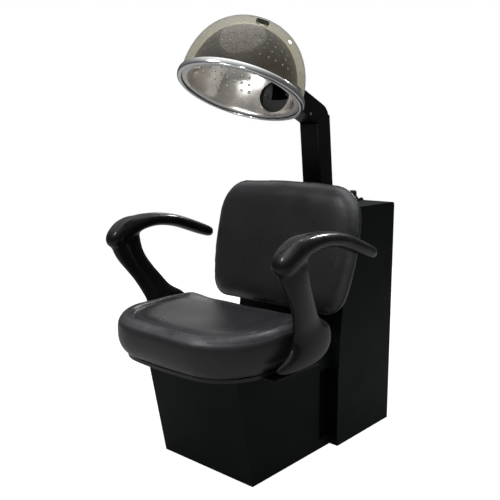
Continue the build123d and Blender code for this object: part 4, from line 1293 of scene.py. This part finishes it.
class DRYER_OT_stage(bpy.types.Operator):
    """Floor, soft lights, surroundings and the camera"""

    bl_idname = "dryer.stage"
    bl_label = "Stage"

    def execute(self, context):
        scene = context.scene
        scene.view_settings.view_transform = "Standard"
        disc = {"vertices": 96, "radius": FLOOR_RADIUS, "fill_type": "NGON"}
        floor = primitive("circle", "studio_floor", location=FLOOR_PLACE, **disc)
        floor.data.materials.append(make_floor())
        world = scene.world or bpy.data.worlds.new("Studio")
        scene.world = world
        world.use_nodes = True
        tree = world.node_tree
        tree.nodes.clear()
        white = background(tree, (1, 1, 1))
        sky = background(tree, (0.97, 0.985, 1))
        compass = tree.nodes.new("ShaderNodeTexCoord")
        split = tree.nodes.new("ShaderNodeSeparateXYZ")
        tree.links.new(compass.outputs["Generated"], split.inputs[0])
        upward = mathematics(tree, "MAXIMUM", split.outputs["Z"], 0.0)
        glow = mathematics(tree, "MULTIPLY", mathematics(tree, "POWER", upward, 3.0), SKY_GLOW)
        tree.links.new(mathematics(tree, "ADD", glow, SKY_BASE), sky.inputs["Strength"])
        mix = tree.nodes.new("ShaderNodeMixShader")
        out = tree.nodes.new("ShaderNodeOutputWorld")
        tree.links.new(ray_kinds(tree)[0], mix.inputs["Fac"])
        tree.links.new(sky.outputs[0], mix.inputs[1])
        tree.links.new(white.outputs[0], mix.inputs[2])
        tree.links.new(mix.outputs[0], out.inputs["Surface"])
        soft_light("overhead", (0.2, -0.7, 3.9), (0, -0.4, 0.3), 3.2, 60).visible_glossy = False
        soft_light("key", (-0.5, -2.4, 2.5), (0, -0.4, 0.7), 0.6, 20)
        behind = soft_light("behind", (-2.6, 2.6, 1.9), (0, -0.5, 0.5), 1.3, 7)
        behind.visible_transmission = False
        for name, location, target, power, radius in SPOTS:
            spot = hang(name, "SPOT", location, target, power).data
            spot.shadow_soft_size = radius
            spot.spot_size = SPOT_CONE
            spot.spot_blend = 0.4
        data = bpy.data.cameras.new("view")
        data.lens = 49.49
        data.sensor_width = 36
        camera = bpy.data.objects.new("view", data)
        scene.collection.objects.link(camera)
        camera.location = CAMERA_PLACE
        camera.rotation_euler = CAMERA_TURN
        scene.camera = camera
        return {"FINISHED"}


OPERATORS = (
    DRYER_OT_finishes,
    DRYER_OT_dome,
    DRYER_OT_liner,
    DRYER_OT_rim,
    DRYER_OT_seat,
    DRYER_OT_backrest,
    DRYER_OT_arms,
    DRYER_OT_dials,
    DRYER_OT_stage,
)


class DRYER_PT_panel(bpy.types.Panel):
    """Every step of the dryer chair"""

    bl_label = "Hood Dryer Chair"
    bl_idname = "DRYER_PT_panel"
    bl_space_type = "VIEW_3D"
    bl_region_type = "UI"
    bl_category = "Dryer Chair"

    def draw(self, context):
        layout = self.layout
        for name in SETTINGS:
            group = getattr(context.scene, name)
            column = layout.column(align=True)
            column.label(text=name.replace("_", " ").title())
            for key in group.__annotations__:
                column.prop(group, key)
        for operator in OPERATORS:
            layout.operator(operator.bl_idname)


CLASSES = (*SETTINGS.values(), *OPERATORS, DRYER_PT_panel)


def register():
    for kind in CLASSES:
        bpy.utils.register_class(kind)
    for name, kind in SETTINGS.items():
        setattr(bpy.types.Scene, name, bpy.props.PointerProperty(type=kind))


def unregister():
    for name in SETTINGS:
        delattr(bpy.types.Scene, name)
    for kind in reversed(CLASSES):
        bpy.utils.unregister_class(kind)


def main():
    register()
    for operator in OPERATORS:
        getattr(bpy.ops.dryer, operator.bl_idname.split(".")[1])()


if __name__ == "__main__":
    main()
